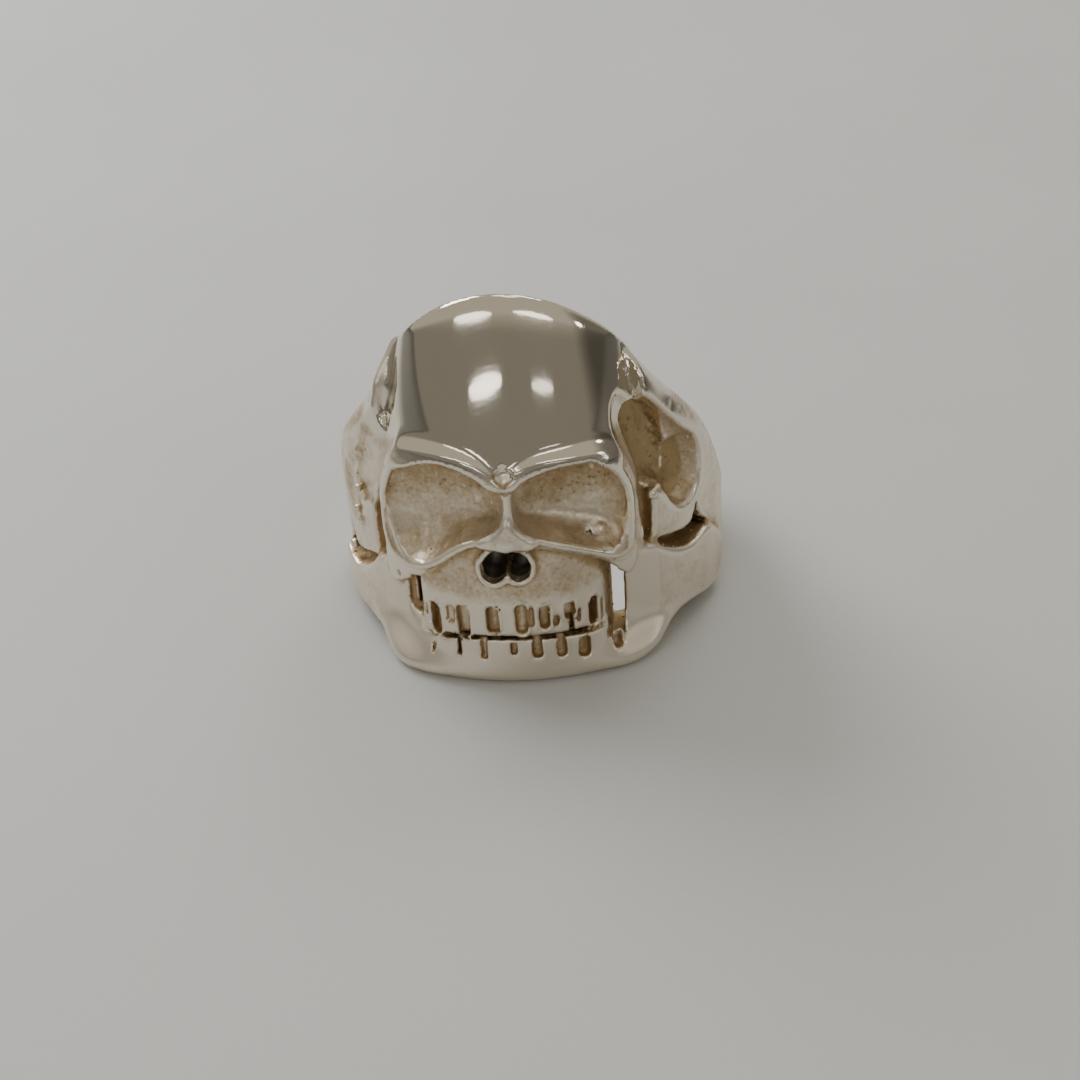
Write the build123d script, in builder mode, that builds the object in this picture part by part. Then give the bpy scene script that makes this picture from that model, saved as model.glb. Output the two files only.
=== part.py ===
from build123d import *
import math
import os

# Finger hole, and the band and shoulders round it
bore_radius = 10.2
bore_draft = 0.4
shoulder_wall = 3.0
back_wall = 2.0
band_height = 6.2
band_level_start = 8.0
crown_height = 26.7
crown_fall = 14.0
crown_round = 4.5
crown_margin = 0.45
shoulder_angle = 55.0
underside_lift = 2.2
underside_front = 2.0
underside_back = 5.2

# Dome of the skull
face_relief = 2.2
dome_radius = 8.0
dome_level = 16.9

# Front of the face, from the brow to the cheekbones
face_round = 9.2
face_half_width = 8.2
brow_level = 16.4
cheek_level = 5.8

# Eye sockets
bridge_width = 0.9
socket_width = 7.0
socket_height = 7.0
socket_level = 8.6
socket_depth = 2.5
socket_bowl_radius = 6.5

# Nose
nose_width = 3.3
nose_height = 2.4
nose_level = 8.2
nose_rim = 0.6
nose_relief = 0.15
nose_flare = 22.0
nose_boss_depth = 2.4
nose_corner = 0.95
nose_hollow_radius = 1.9

# Upper jaw and its teeth
maxilla_round = 7.9
maxilla_half_width = 6.1
maxilla_relief = 0.8
gum_height = 3.2
gum_slope = 1.6
bite_level = 4.0
bite_drop = 0.6
upper_slots = 7
tooth_pitch = 1.75
slot_width = 0.8
slot_depth = 0.6
upper_slot_height = 2.3
upper_slot_rise = 0.5

# Lower jaw, its teeth and its two branches
jaw_round = 8.9
jaw_half_width = 8.1
chin_round = 1.2
bite_gap = 0.35
bite_depth = 0.9
lower_slots = 8
lower_slot_height = 1.5
branch_relief = 0.4
branch_length = 10.2
branch_height = 8.0
branch_angle = 54.0

# Hollows at the temple, before and under the cheek arch, and beside the upper jaw
temple_length = 11.4
temple_width = 5.8
temple_depth = 2.0
temple_level = 14.0
temple_angle = 47.0
temple_lean = 30.0
arch_gap_depth = 1.7
front_slit_width = 0.9
front_slit_height = 4.0
front_slit_level = 10.4
front_slit_angle = 37.0
jaw_gap_width = 1.1
jaw_gap_height = 3.3
jaw_gap_level = 3.7
jaw_gap_fall = 4.1

# Radii and depths that follow from the sizes
shoulder_radius = bore_radius + shoulder_wall
back_radius = bore_radius + back_wall
face_depth = shoulder_radius + face_relief
branch_radius = shoulder_radius + branch_relief

# How far the cutting tools run past the metal, and the right and the left side
reach = 2 * crown_height
overcut = 1.0
SIDES = (1, -1)

# Upper edge of the right shoulder, seen along the line from the finger hole's axis through its middle.
# Along is a share of the shoulders' radius, backwards, and rise a share of the way from the band's
# height to the crown.
EDGE_ROWS = (
    # along, rise
    (-1.10, 1.00),
    (-0.88, 0.97),
    (-0.70, 0.93),
    (-0.50, 0.87),
    (-0.31, 0.77),
    (-0.14, 0.65),
    (0.04, 0.50),
    (0.25, 0.33),
    (0.50, 0.11),
    (0.66, 0.02),
    (0.80, 0.00),
)

# Right half of the face's outline. Across is a share of the face's half width, and up a share of the
# way from the cheekbone's tip to the brow.
FACE_ROWS = (
    # across, up
    (0.00, 0.87),
    (0.15, 0.96),
    (0.37, 1.01),
    (0.60, 0.98),
    (0.77, 0.90),
    (0.87, 0.78),
    (0.93, 0.62),
    (0.97, 0.40),
    (1.03, 0.14),
    (1.01, 0.00),
    (0.90, 0.03),
    (0.78, 0.14),
    (0.66, 0.26),
    (0.40, 0.41),
    (0.00, 0.46),
)

# Outline of the right eye socket. Across runs outwards from the nose bridge and up from the lowest
# corner, as shares of the socket's width and height.
SOCKET_ROWS = (
    # across, up
    (0.00, 0.66),
    (0.08, 0.87),
    (0.27, 0.97),
    (0.52, 1.00),
    (0.76, 0.94),
    (0.92, 0.76),
    (1.00, 0.46),
    (0.98, 0.16),
    (0.88, 0.02),
    (0.70, 0.12),
    (0.42, 0.27),
    (0.14, 0.40),
)

# Outline of a branch of the lower jaw. Along runs backwards from its front edge and up from the floor,
# as shares of the branch's length and height.
BRANCH_TOP_ROWS = (
    # along, up
    (0.00, 1.00),
    (0.20, 1.00),
    (0.34, 0.84),
    (0.45, 0.77),
    (0.58, 0.78),
    (0.72, 0.79),
    (0.84, 0.73),
)
BRANCH_END_ROWS = (
    # along, up
    (0.95, 0.60),
    (0.99, 0.40),
    (0.97, 0.15),
    (0.88, 0.06),
)
BRANCH_LOW_ROWS = (
    # along, up
    (0.64, 0.15),
    (0.40, 0.22),
    (0.20, 0.25),
    (0.00, 0.27),
)

# Lower edge of the cheek arch over the branch, in the same shares.
ARCH_ROWS = (
    # along, up
    (0.80, 0.99),
    (0.70, 0.92),
    (0.55, 0.95),
    (0.40, 0.99),
    (0.24, 1.00),
)

# Rounded lower edge of the chin. In runs from the front of the jaw and up from the floor, as shares of
# the round.
CHIN_ROWS = (
    # in, up
    (1.00, 0.00),
    (0.25, 0.33),
    (0.00, 1.00),
)

# Corner of the lower jaw, seen from the front. Across is a share of the jaw's half width, and up a
# share of the height to which the shoulders' underside rises.
JAW_CORNER_ROWS = (
    # across, up
    (0.86, 0.00),
    (0.97, 0.30),
    (1.00, 1.20),
)


def facing(angle, radius, level=0.0, lean=0.0):
    """Plane that touches a round of the given radius, turned from the face by the angle.

    Its Y points up, or up and towards the face where it leans.
    """
    turn = math.radians(angle)
    outward = Vector(math.sin(turn), -math.cos(turn), 0)
    backward = Vector(math.cos(turn), math.sin(turn), 0)
    tilt = math.radians(lean)
    across = backward * math.cos(tilt) + Vector(0, 0, math.sin(tilt))
    return Plane(origin=outward * radius + Vector(0, 0, level), x_dir=across, z_dir=outward)


def barrel(depth, radius, low, high, half_width):
    """Block whose front is a round of the given radius, at the depth before the finger hole's axis."""
    with BuildPart() as block:
        with BuildSketch(Plane.XY.offset(low)):
            with Locations((0, radius - depth)):
                Circle(radius)
            Rectangle(2 * half_width, 2 * depth, mode=Mode.INTERSECT)
            with Locations((0, 0)):
                Rectangle(2 * half_width, 2 * depth, align=(Align.CENTER, Align.MIN), mode=Mode.SUBTRACT)
        extrude(amount=high - low)
    return block.part


def ring_wall():
    """Wall round the finger hole, closing in towards the crown, cut to its upper and lower edge."""
    round_middle = shoulder_radius + crown_margin - crown_round
    with BuildPart() as wall:
        with BuildSketch(Plane.XY):
            with BuildLine():
                CenterArc((0, 0), shoulder_radius, 180, 180)
                EllipticalCenterArc((0, 0), shoulder_radius, back_radius, start_angle=0, arc_size=180)
            make_face()
        extrude(amount=crown_height)
        with BuildSketch(Plane.XZ):
            with BuildLine():
                top = EllipticalCenterArc(
                    (round_middle, crown_height - crown_fall),
                    crown_round,
                    crown_fall,
                    start_angle=0,
                    arc_size=90,
                )
                Polyline(top @ 1, (0, crown_height), (0, -overcut), ((top @ 0).X, -overcut), top @ 0)
            make_face()
        revolve(axis=Axis.Z, mode=Mode.INTERSECT)
        for side in SIDES:
            add(wall_waste(side), mode=Mode.SUBTRACT)
        with BuildSketch(Plane.XY.offset(band_height)):
            with Locations((0, band_level_start)):
                Rectangle(reach, reach, align=(Align.CENTER, Align.MIN))
        extrude(amount=reach, mode=Mode.SUBTRACT)
    return wall.part


def wall_waste(side):
    """Tool for one side of the wall: what lies above its upper edge and under its raised underside."""
    rise = crown_height - band_height
    edge = [(side * along * shoulder_radius, band_height + share * rise) for along, share in EDGE_ROWS]
    front = -side * crown_height
    back = side * crown_height
    arch_run = underside_back + underside_front
    arch_radius = (arch_run**2 + underside_lift**2) / (2 * underside_lift)
    half_lift = arch_radius - math.sqrt(arch_radius**2 - (arch_run / 2) ** 2)
    with BuildPart() as waste:
        with BuildSketch(facing(side * shoulder_angle, 0)):
            with BuildLine():
                upper = Spline(edge, tangents=[(side, 0), (side, 0)])
                Polyline(
                    upper @ 1,
                    (back, band_height),
                    (back, reach),
                    (front, reach),
                    (front, crown_height),
                    upper @ 0,
                )
            make_face()
            with BuildLine():
                ThreePointArc(
                    (side * underside_back, 0),
                    (side * (underside_back - underside_front) / 2, half_lift),
                    (-side * underside_front, underside_lift),
                )
                Polyline(
                    (-side * underside_front, underside_lift),
                    (front, underside_lift),
                    (front, -overcut),
                    (side * underside_back, -overcut),
                    (side * underside_back, 0),
                )
            make_face()
        extrude(amount=reach, both=True)
        with BuildSketch(Plane.XY.offset(-overcut)):
            Rectangle(reach, reach, align=(Align.MIN if side > 0 else Align.MAX, Align.CENTER))
        extrude(amount=2 * reach, mode=Mode.INTERSECT)
    return waste.part


def dome():
    """Smooth top of the skull, an egg that stands upright."""
    with BuildPart() as egg:
        with BuildSketch(Plane.XZ.offset(face_depth - dome_radius)):
            with BuildLine():
                half = EllipticalCenterArc(
                    (0, dome_level), dome_radius, crown_height - dome_level, start_angle=-90, arc_size=180
                )
                Line(half @ 1, half @ 0)
            make_face()
        revolve(axis=Axis((0, dome_radius - face_depth, 0), (0, 0, 1)))
    return egg.part


def face():
    """Front of the face from the brow to the cheekbones, round like the side of a barrel."""
    rise = brow_level - cheek_level
    points = [(across * face_half_width, cheek_level + up * rise) for across, up in FACE_ROWS]
    with BuildPart() as front:
        with BuildSketch(Plane.XZ):
            with BuildLine():
                Polyline(*points, close=True)
            make_face()
            mirror(about=Plane.YZ)
        extrude(amount=2 * face_depth)
        add(barrel(face_depth, face_round, 0, crown_height, face_round), mode=Mode.INTERSECT)
    return front.part


def socket(side):
    """Tool for one eye socket: its outline cut into the face, with a bowl for a floor."""
    points = [
        (side * (bridge_width / 2 + across * socket_width), socket_level + up * socket_height)
        for across, up in SOCKET_ROWS
    ]
    turn = math.asin((bridge_width + socket_width) / 2 / face_round)
    bowl_reach = face_round - socket_depth + socket_bowl_radius
    with BuildPart() as tool:
        with BuildSketch(Plane.XZ):
            with BuildLine():
                Spline(points, periodic=True)
            make_face()
        extrude(amount=2 * face_depth)
        with Locations(
            (
                side * bowl_reach * math.sin(turn),
                face_round - face_depth - bowl_reach * math.cos(turn),
                socket_level + socket_height / 2,
            )
        ):
            Sphere(socket_bowl_radius, mode=Mode.INTERSECT)
    return tool.part


def nose_boss():
    """Raised rim round the nose hole, wider where it meets the bone."""
    with BuildPart() as boss:
        with BuildSketch(Plane.XZ.offset(face_depth + nose_relief)):
            with Locations((0, nose_level + nose_height / 2)):
                Ellipse(nose_width / 2 + nose_rim, nose_height / 2 + nose_rim)
        extrude(amount=-nose_boss_depth, taper=-nose_flare)
    return boss.part


def nose_hole():
    """Tool that pierces the nose and hollows the metal behind it out from the finger side."""
    with BuildPart() as hole:
        with BuildSketch(Plane.XZ):
            with Locations((0, nose_level + nose_height / 2)):
                RectangleRounded(nose_width, nose_height, nose_corner)
        extrude(amount=2 * face_depth)
        with BuildSketch(Plane.XZ):
            with Locations((0, nose_level + nose_height / 2)):
                Circle(nose_hollow_radius)
        extrude(amount=face_depth - shoulder_wall / 2)
    return hole.part


def turned_block(radius, profile, half_width):
    """Block of a jaw, turned from a profile about its own upright axis and cut to its width."""
    with BuildPart() as block:
        with BuildSketch(Plane.XZ.offset(face_depth - radius)):
            with BuildLine():
                Polyline(*profile, close=True)
            make_face()
        revolve(axis=Axis((0, radius - face_depth, 0), (0, 0, 1)))
        with BuildSketch(Plane.XY):
            Rectangle(2 * half_width, 2 * face_depth, align=(Align.CENTER, Align.MAX))
        extrude(amount=crown_height, mode=Mode.INTERSECT)
    return block.part


def upper_jaw():
    """Upper jaw, whose gum and teeth stand proud of the bone above them."""
    bone = maxilla_round - maxilla_relief
    gum_top = bite_level + gum_height
    profile = (
        (0, bite_level - bite_drop - bite_gap),
        (maxilla_round, bite_level - bite_drop - bite_gap),
        (maxilla_round, gum_top),
        (bone, gum_top + gum_slope),
        (bone, nose_level + nose_height),
        (0, nose_level + nose_height),
    )
    return turned_block(maxilla_round, profile, maxilla_half_width)


def lower_jaw():
    """Front of the lower jaw, from one corner round the chin to the other, standing on the floor."""
    shoulder = (jaw_half_width + maxilla_half_width) / 2
    chin = [(jaw_round - inwards * chin_round, up * chin_round) for inwards, up in CHIN_ROWS]
    corner = [(across * jaw_half_width, up * underside_lift) for across, up in JAW_CORNER_ROWS]
    profile = ((0, 0), *chin, (jaw_round, bite_level), (0, bite_level))
    with BuildPart() as jaw:
        add(turned_block(jaw_round, profile, jaw_half_width))
        with BuildSketch(Plane.XZ):
            with BuildLine():
                Polyline(
                    (0, 0),
                    *corner,
                    (shoulder, bite_level - bite_drop),
                    (maxilla_half_width, bite_level),
                    (0, bite_level),
                    close=True,
                )
            make_face()
            mirror(about=Plane.YZ)
        extrude(amount=2 * face_depth, mode=Mode.INTERSECT)
    return jaw.part


def bite():
    """Tool for the dark line between the upper and lower teeth, which falls a little at its ends."""
    across = maxilla_half_width
    end_level = bite_level - bite_drop
    with BuildPart() as line:
        with BuildSketch(Plane.XZ):
            with BuildLine():
                top = ThreePointArc((-across, end_level), (0, bite_level), (across, end_level))
                low = ThreePointArc(
                    (-across, end_level - bite_gap),
                    (0, bite_level - bite_gap),
                    (across, end_level - bite_gap),
                )
                Line(top @ 0, low @ 0)
                Line(top @ 1, low @ 1)
            make_face()
        extrude(amount=2 * face_depth)
        with BuildSketch(Plane.XY):
            with Locations((0, jaw_round - face_depth)):
                Circle(jaw_round - bite_depth)
        extrude(amount=crown_height, mode=Mode.SUBTRACT)
    return line.part


def tooth_slots(count, arc_radius, low, height):
    """Tool for a row of slots with round ends, spaced evenly along an arc of teeth."""
    with BuildPart() as row:
        for number in range(count):
            turn = (number - (count - 1) / 2) * tooth_pitch / arc_radius
            drop = bite_drop * (arc_radius * math.sin(turn) / maxilla_half_width) ** 2
            plane = facing(math.degrees(turn), arc_radius - slot_depth, low + height / 2 - drop)
            plane.origin += Vector(0, arc_radius - face_depth, 0)
            with BuildSketch(plane):
                SlotOverall(height, slot_width, rotation=90)
            extrude(amount=2 * slot_depth)
    return row.part


def branch_points(side, rows):
    """Points of a branch's outline in its own plane, as distance along and height."""
    return [(side * (along - 0.5) * branch_length, up * branch_height) for along, up in rows]


def branch(side):
    """One branch of the lower jaw, a plate that stands a little proud of the band."""
    top = branch_points(side, BRANCH_TOP_ROWS)
    end = branch_points(side, BRANCH_END_ROWS)
    low = branch_points(side, BRANCH_LOW_ROWS)
    with BuildPart() as plate:
        with BuildSketch(facing(side * branch_angle, 0)):
            with BuildLine():
                Polyline(*top, *end, *low, close=True)
            make_face()
        extrude(amount=2 * shoulder_radius)
        with BuildSketch(Plane.XY):
            Circle(branch_radius)
        extrude(amount=crown_height, mode=Mode.INTERSECT)
    return plate.part


def arch_gap(side):
    """Tool for the dark gap between a cheek arch and the branch under it."""
    with BuildPart() as gap:
        with BuildSketch(facing(side * branch_angle, shoulder_radius - arch_gap_depth)):
            with BuildLine():
                Polyline(*branch_points(side, BRANCH_TOP_ROWS[1:-1] + ARCH_ROWS), close=True)
            make_face()
        extrude(amount=2 * arch_gap_depth)
    return gap.part


def temple(side):
    """Tool for one temple's hollow, a long bowl that leans forwards."""
    half_length = temple_length / 2
    half_width = temple_width / 2
    centre_radius = shoulder_radius - temple_depth + half_width
    plane = facing(side * temple_angle, centre_radius, temple_level, side * temple_lean)
    with BuildPart() as bowl:
        with BuildSketch(plane):
            with BuildLine():
                half = EllipticalCenterArc((0, 0), half_width, half_length, start_angle=-90, arc_size=180)
                Line(half @ 0, half @ 1)
            make_face()
        revolve(axis=Axis(plane.origin, plane.y_dir))
    return bowl.part


def front_slit(side):
    """Tool for the narrow slit between a socket's outer rim and the cheek arch."""
    floor_radius = shoulder_radius - temple_depth
    with BuildPart() as slit:
        with BuildSketch(facing(side * front_slit_angle, floor_radius, front_slit_level)):
            SlotOverall(front_slit_height, front_slit_width, rotation=90)
        extrude(amount=shoulder_radius)
    return slit.part


def jaw_gap(side):
    """Tool for the gap between the upper jaw and a branch, open down to the floor inside the ring."""
    top = jaw_gap_level + jaw_gap_height
    with BuildPart() as gap:
        with BuildSketch(Plane.YZ.offset(side * maxilla_half_width)):
            with BuildLine():
                Polyline(
                    (-2 * face_depth, jaw_gap_level),
                    (-shoulder_radius, jaw_gap_level),
                    (0, jaw_gap_level - jaw_gap_fall),
                    (0, top),
                    (-2 * face_depth, top),
                    close=True,
                )
            make_face()
        extrude(amount=side * jaw_gap_width)
    return gap.part


def finger_hole():
    """Tool for the finger hole, which widens a little above the band, behind the face."""
    with BuildPart() as hole:
        with BuildSketch(Plane.XZ):
            with BuildLine():
                Polyline(
                    (0, -overcut),
                    (bore_radius, -overcut),
                    (bore_radius, band_height),
                    (bore_radius + bore_draft, crown_height),
                    (0, crown_height),
                    close=True,
                )
            make_face()
        revolve(axis=Axis.Z)
    return hole.part


upper_low = bite_level + upper_slot_rise
lower_low = bite_level - bite_gap - lower_slot_height
with BuildPart() as skull_ring:
    add(ring_wall())
    add(dome())
    add(face())
    add(upper_jaw())
    add(lower_jaw())
    add(nose_boss())
    for side in SIDES:
        add(branch(side))
    for side in SIDES:
        add(socket(side), mode=Mode.SUBTRACT)
        add(temple(side), mode=Mode.SUBTRACT)
        add(front_slit(side), mode=Mode.SUBTRACT)
        add(arch_gap(side), mode=Mode.SUBTRACT)
        add(jaw_gap(side), mode=Mode.SUBTRACT)
    add(nose_hole(), mode=Mode.SUBTRACT)
    add(bite(), mode=Mode.SUBTRACT)
    add(tooth_slots(upper_slots, maxilla_round, upper_low, upper_slot_height), mode=Mode.SUBTRACT)
    add(tooth_slots(lower_slots, jaw_round, lower_low, lower_slot_height), mode=Mode.SUBTRACT)
    add(finger_hole(), mode=Mode.SUBTRACT)

skull_ring.part.label = "skull_ring"
os.makedirs("parts", exist_ok=True)
export_step(skull_ring.part, "parts/skull_ring.step")
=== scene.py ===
"""Cast silver skull ring on a pale table.

The ring is worked out as a smooth field of distances from named sizes, turned into one closed mesh,
given its cast surface by a node tree and finished as polished, satin and tarnished silver.
"""

import math
from types import SimpleNamespace

import bpy
import numpy as np
from mathutils import Matrix, Vector


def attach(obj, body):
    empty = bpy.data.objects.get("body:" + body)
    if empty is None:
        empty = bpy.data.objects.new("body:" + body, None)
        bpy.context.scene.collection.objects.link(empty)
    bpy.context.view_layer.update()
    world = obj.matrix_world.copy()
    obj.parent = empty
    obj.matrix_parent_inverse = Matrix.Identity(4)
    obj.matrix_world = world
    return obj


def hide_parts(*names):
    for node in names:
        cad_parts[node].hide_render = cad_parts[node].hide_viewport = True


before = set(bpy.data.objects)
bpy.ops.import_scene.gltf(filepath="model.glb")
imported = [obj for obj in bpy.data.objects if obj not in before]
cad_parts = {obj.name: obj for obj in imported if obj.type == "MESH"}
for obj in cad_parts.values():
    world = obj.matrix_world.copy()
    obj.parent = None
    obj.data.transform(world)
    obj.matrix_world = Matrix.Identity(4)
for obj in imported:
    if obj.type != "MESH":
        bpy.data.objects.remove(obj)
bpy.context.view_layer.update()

bl_info = {
    "name": "Skull ring",
    "version": (1, 0, 0),
    "blender": (4, 5, 0),
    "location": "3D View > Sidebar > Skull ring",
    "description": "Builds a cast silver skull ring and the table it lies on",
    "category": "Object",
}

MM = 0.001


def length(name, millimetres, description):
    """A length setting, stated in millimetres and kept in metres."""
    return bpy.props.FloatProperty(
        name=name, description=description, default=millimetres * MM, min=0.0, unit="LENGTH", precision=5
    )


def share(name, value, description):
    """A setting between nothing and all."""
    return bpy.props.FloatProperty(
        name=name, description=description, default=value, min=0.0, max=1.0, subtype="FACTOR"
    )


def turn(name, degrees, description):
    """An angle setting, stated in degrees."""
    return bpy.props.FloatProperty(
        name=name, description=description, default=math.radians(degrees), unit="ROTATION"
    )


def number(name, value, description):
    """A plain number setting that isn't negative."""
    return bpy.props.FloatProperty(name=name, description=description, default=value, min=0.0)


def colour(name, value, description):
    """A colour setting in linear red, green and blue."""
    return bpy.props.FloatVectorProperty(
        name=name, description=description, default=value, size=3, min=0.0, max=1.0, subtype="COLOR"
    )


class SkullRingSizes(bpy.types.PropertyGroup):
    """Sizes of the ring."""

    bore_radius: length("Hole radius", 10.2, "Radius of the finger hole at the band")
    bore_draft: length("Hole draft", 0.2, "How much wider the hole is at the crown")
    shoulder_radius: length("Shoulder radius", 13.2, "Outer radius of the band and shoulders")
    back_radius: length("Back radius", 12.2, "Outer radius of the band at its back")
    band_height: length("Band height", 6.2, "Height of the band at its back")
    band_round: length("Band rounding", 1.2, "Rounding of the band's outer upper edge")
    crown_height: length("Crown height", 26.9, "Height of the crown before its edge is rounded")
    crown_fall: length("Crown fall", 14.0, "How far down the wall starts to close in")
    crown_round: length("Crown round", 4.5, "How far the wall closes in at the crown")
    crown_margin: length("Crown margin", 0.45, "How far the closing round stands outside the wall")
    shoulder_sag: length("Shoulder sag", 0.8, "How much lower the left shoulder is than the right one")
    shoulder_angle: turn("Shoulder angle", 55.0, "Direction in which the shoulders are cut")
    shoulder_round: length("Shoulder rounding", 2.0, "Further rounding of the wall's edge above the temples")
    left_drop: length("Left drop", 2.1, "How much lower the left side's hollows lie than the right side's")
    left_turn: length("Left turn", 1.3, "How much further back the left side's hollows lie")
    left_relief: share("Left relief", 0.15, "Depth of the left temple as a share of the right one's")
    underside_lift: length("Underside lift", 2.2, "How far the shoulders' underside rises off the table")
    underside_front: length("Underside front", 2.0, "Front end of the raised underside")
    underside_back: length("Underside back", 5.2, "Back end of the raised underside")
    face_depth: length("Face depth", 15.4, "Front of the face, before the hole's axis")
    dome_half_width: length("Dome half width", 9.55, "Half the width of the dome of the skull")
    dome_depth: length("Dome depth", 9.92, "Radius of the dome from front to back")
    dome_rise: length("Dome rise", 28.2, "Radius of the dome along its own axis")
    dome_lean: turn("Dome lean", 10.5, "How far the dome's axis leans back")
    dome_place: length("Dome place", 8.5, "How far the dome's middle lies before the hole's axis")
    dome_level: length("Dome level", 4.15, "Height of the dome's middle")
    valley_start: turn("Valley start", 36.0, "Direction up to which the wall keeps inside the dome")
    valley_end: turn("Valley end", 49.0, "Direction from the face where the wall has its full radius")
    valley_width: length("Valley width", 5.0, "How far the wall stands outside the dome where it is full")
    dome_cover: length("Dome cover", 1.8, "How far the wall keeps inside the dome at the face")
    left_fill: length("Left fill", 1.4, "How much wider the crease beside the dome is filled on the left")
    rim_round: length("Crown rim round", 1.2, "Reach of the rounding between the crown and the hole")
    face_round: length("Face round", 10.5, "Radius of the round that the face follows")
    brow_level: length("Brow level", 16.6, "Height of the brow")
    brow_blend: length("Brow blend", 1.1, "Reach of the round between the dome and the brow")
    brow_proud: length("Brow height", 0.2, "How far the brow may stand proud of the dome")
    socket_depth: length("Socket depth", 2.7, "Depth of an eye socket")
    socket_sweep: length("Socket sweep", 1.4, "Reach of the round between a socket's floor and its lower rim")
    socket_bowl: length("Socket bowl", 9.0, "Radius of an eye socket's floor")
    rim_radius: length("Rim radius", 0.22, "Radius of the rolled rim of an eye socket")
    nose_lip: length("Nose lip", 0.2, "Radius of the raised lip round the nose hole")
    nose_rise: length("Nose rise", 0.55, "How far the tip of the nose stands proud of the face")
    maxilla_round: length("Upper jaw round", 7.9, "Radius of the arc of the upper teeth")
    maxilla_half_width: length("Upper jaw half width", 5.9, "Half the width of the upper jaw")
    left_flat: length("Left flatness", 2.1, "How much larger the arcs of the teeth are on the left")
    left_jaw: length("Left jaw", 0.45, "How much further the upper jaw reaches out on the left")
    maxilla_top: length("Upper jaw top", 10.6, "Top of the upper jaw behind the cheekbones")
    maxilla_relief: length("Gum relief", 0.35, "How far the gum stands proud of the bone")
    gum_level: length("Gum level", 6.6, "Height at which the gum starts to fall back to the bone")
    gum_slope: length("Gum slope", 3.2, "Height over which the gum falls back to the bone")
    bite_level: length("Bite level", 3.95, "Height of the bite at the middle of the face")
    bite_drop: length("Bite drop", 0.5, "How much lower the bite is at its right end")
    bite_sag: length("Bite sag", 0.4, "How much lower still the bite is at its left end")
    bite_gap: length("Bite gap", 0.22, "Height of the gap between the teeth")
    bite_depth: length("Bite depth", 0.4, "Depth of the gap between the teeth")
    jaw_round: length("Lower jaw round", 9.8, "Radius of the arc of the lower teeth")
    jaw_half_width: length("Lower jaw half width", 9.2, "Half the width of the chin")
    chin_arc: length("Chin arc", 16.0, "Radius of the arc of the chin at the table")
    chin_aside: length("Chin aside", 0.6, "How far the chin's middle lies to the left")
    chin_blend: length("Chin blend", 3.0, "Reach of the round between the chin and its branches")
    chin_slope: number("Chin slope", 0.34, "How fast the chin's ends fall back with height")
    chin_corner: length("Chin corner", 2.0, "Reach of the rounding of the chin's ends")
    chin_round: length("Chin round", 1.1, "Rounding of the chin's lower edge")
    branch_radius: length("Branch radius", 13.6, "Outer radius of the lower jaw's branches")
    edge_depth: length("Temple edge depth", 1.2, "Depth of the smooth edge of a temple's hollow")
    recess_depth: length("Temple recess depth", 2.2, "Depth of the rough recess of a temple")
    rear_depth: length("Temple rear depth", 1.9, "Depth of the rear hollow of a temple")
    left_slit: length("Left slit", 0.35, "How much the left slit reaches out beyond the right one's shape")
    mark_level: length("Mark level", 16.25, "Height of the small lozenge over the nose")
    mark_size: length("Mark size", 0.50, "Distance from the lozenge's middle to its sides")
    mark_depth: length("Mark depth", 0.2, "Depth of the lozenge")
    slit_depth: length("Slit depth", 1.0, "Depth of the slit behind a socket's rim")
    gap_depth: length("Arch gap depth", 1.7, "Depth of the gap under a cheek arch")
    jaw_gap_right: length("Right jaw gap", 0.95, "Width of the gap between the jaws on the right")
    jaw_gap_left: length("Left jaw gap", 0.4, "Width of the gap between the jaws on the left")
    jaw_gap_height: length("Jaw gap height", 4.6, "Height of the gap between the jaws")
    jaw_gap_level: length("Jaw gap level", 2.5, "Lower end of the gap between the jaws")
    jaw_gap_lift: length("Jaw gap lift", 2.0, "How much higher the left gap's lower end lies")
    jaw_gap_fall: length("Jaw gap fall", 4.1, "How much the gap's floor falls towards the hole's axis")
    cell: length("Mesh cell", 0.2, "Size of the mesh's cells")
    quick_cell: length("Quick mesh cell", 0.3, "Size of the mesh's cells while trying things")


class SkullRingFinish(bpy.types.PropertyGroup):
    """Colours and strengths of the silver's finish."""

    silver: colour("Silver", (0.80, 0.74, 0.63), "Clean polished silver")
    satin: colour("Satin silver", (0.84, 0.765, 0.645), "Silver with a soft, slightly dulled surface")
    tarnish: colour("Tarnish", (0.50, 0.37, 0.21), "Tan tarnish in the hollows")
    soot: colour("Dark tarnish", (0.12, 0.10, 0.08), "Nearly black tarnish in the deepest places")
    polish: share("Polish", 0.07, "Roughness of the dome")
    satin_roughness: share("Satin roughness", 0.33, "Roughness of the jaws and shoulders")
    tarnish_roughness: share("Tarnish roughness", 0.58, "Roughness of tarnished silver")
    pit_depth: length("Pit depth", 0.07, "Depth of the casting pits in the hollows")
    pit_spacing: length("Pit spacing", 0.55, "Distance between the casting pits")
    grain_depth: length("Grain depth", 0.012, "Depth of the unevenness of the cast surface")
    bead_radius: length("Bead radius", 0.11, "Radius of the little casting beads in the hollows")
    bead_density: bpy.props.FloatProperty(
        name="Bead density",
        description="Casting beads for each square metre of hollow",
        default=450000.0,
        min=0.0,
    )
    seed: bpy.props.IntProperty(name="Seed", description="Seed of the pits and beads", default=7)


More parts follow.
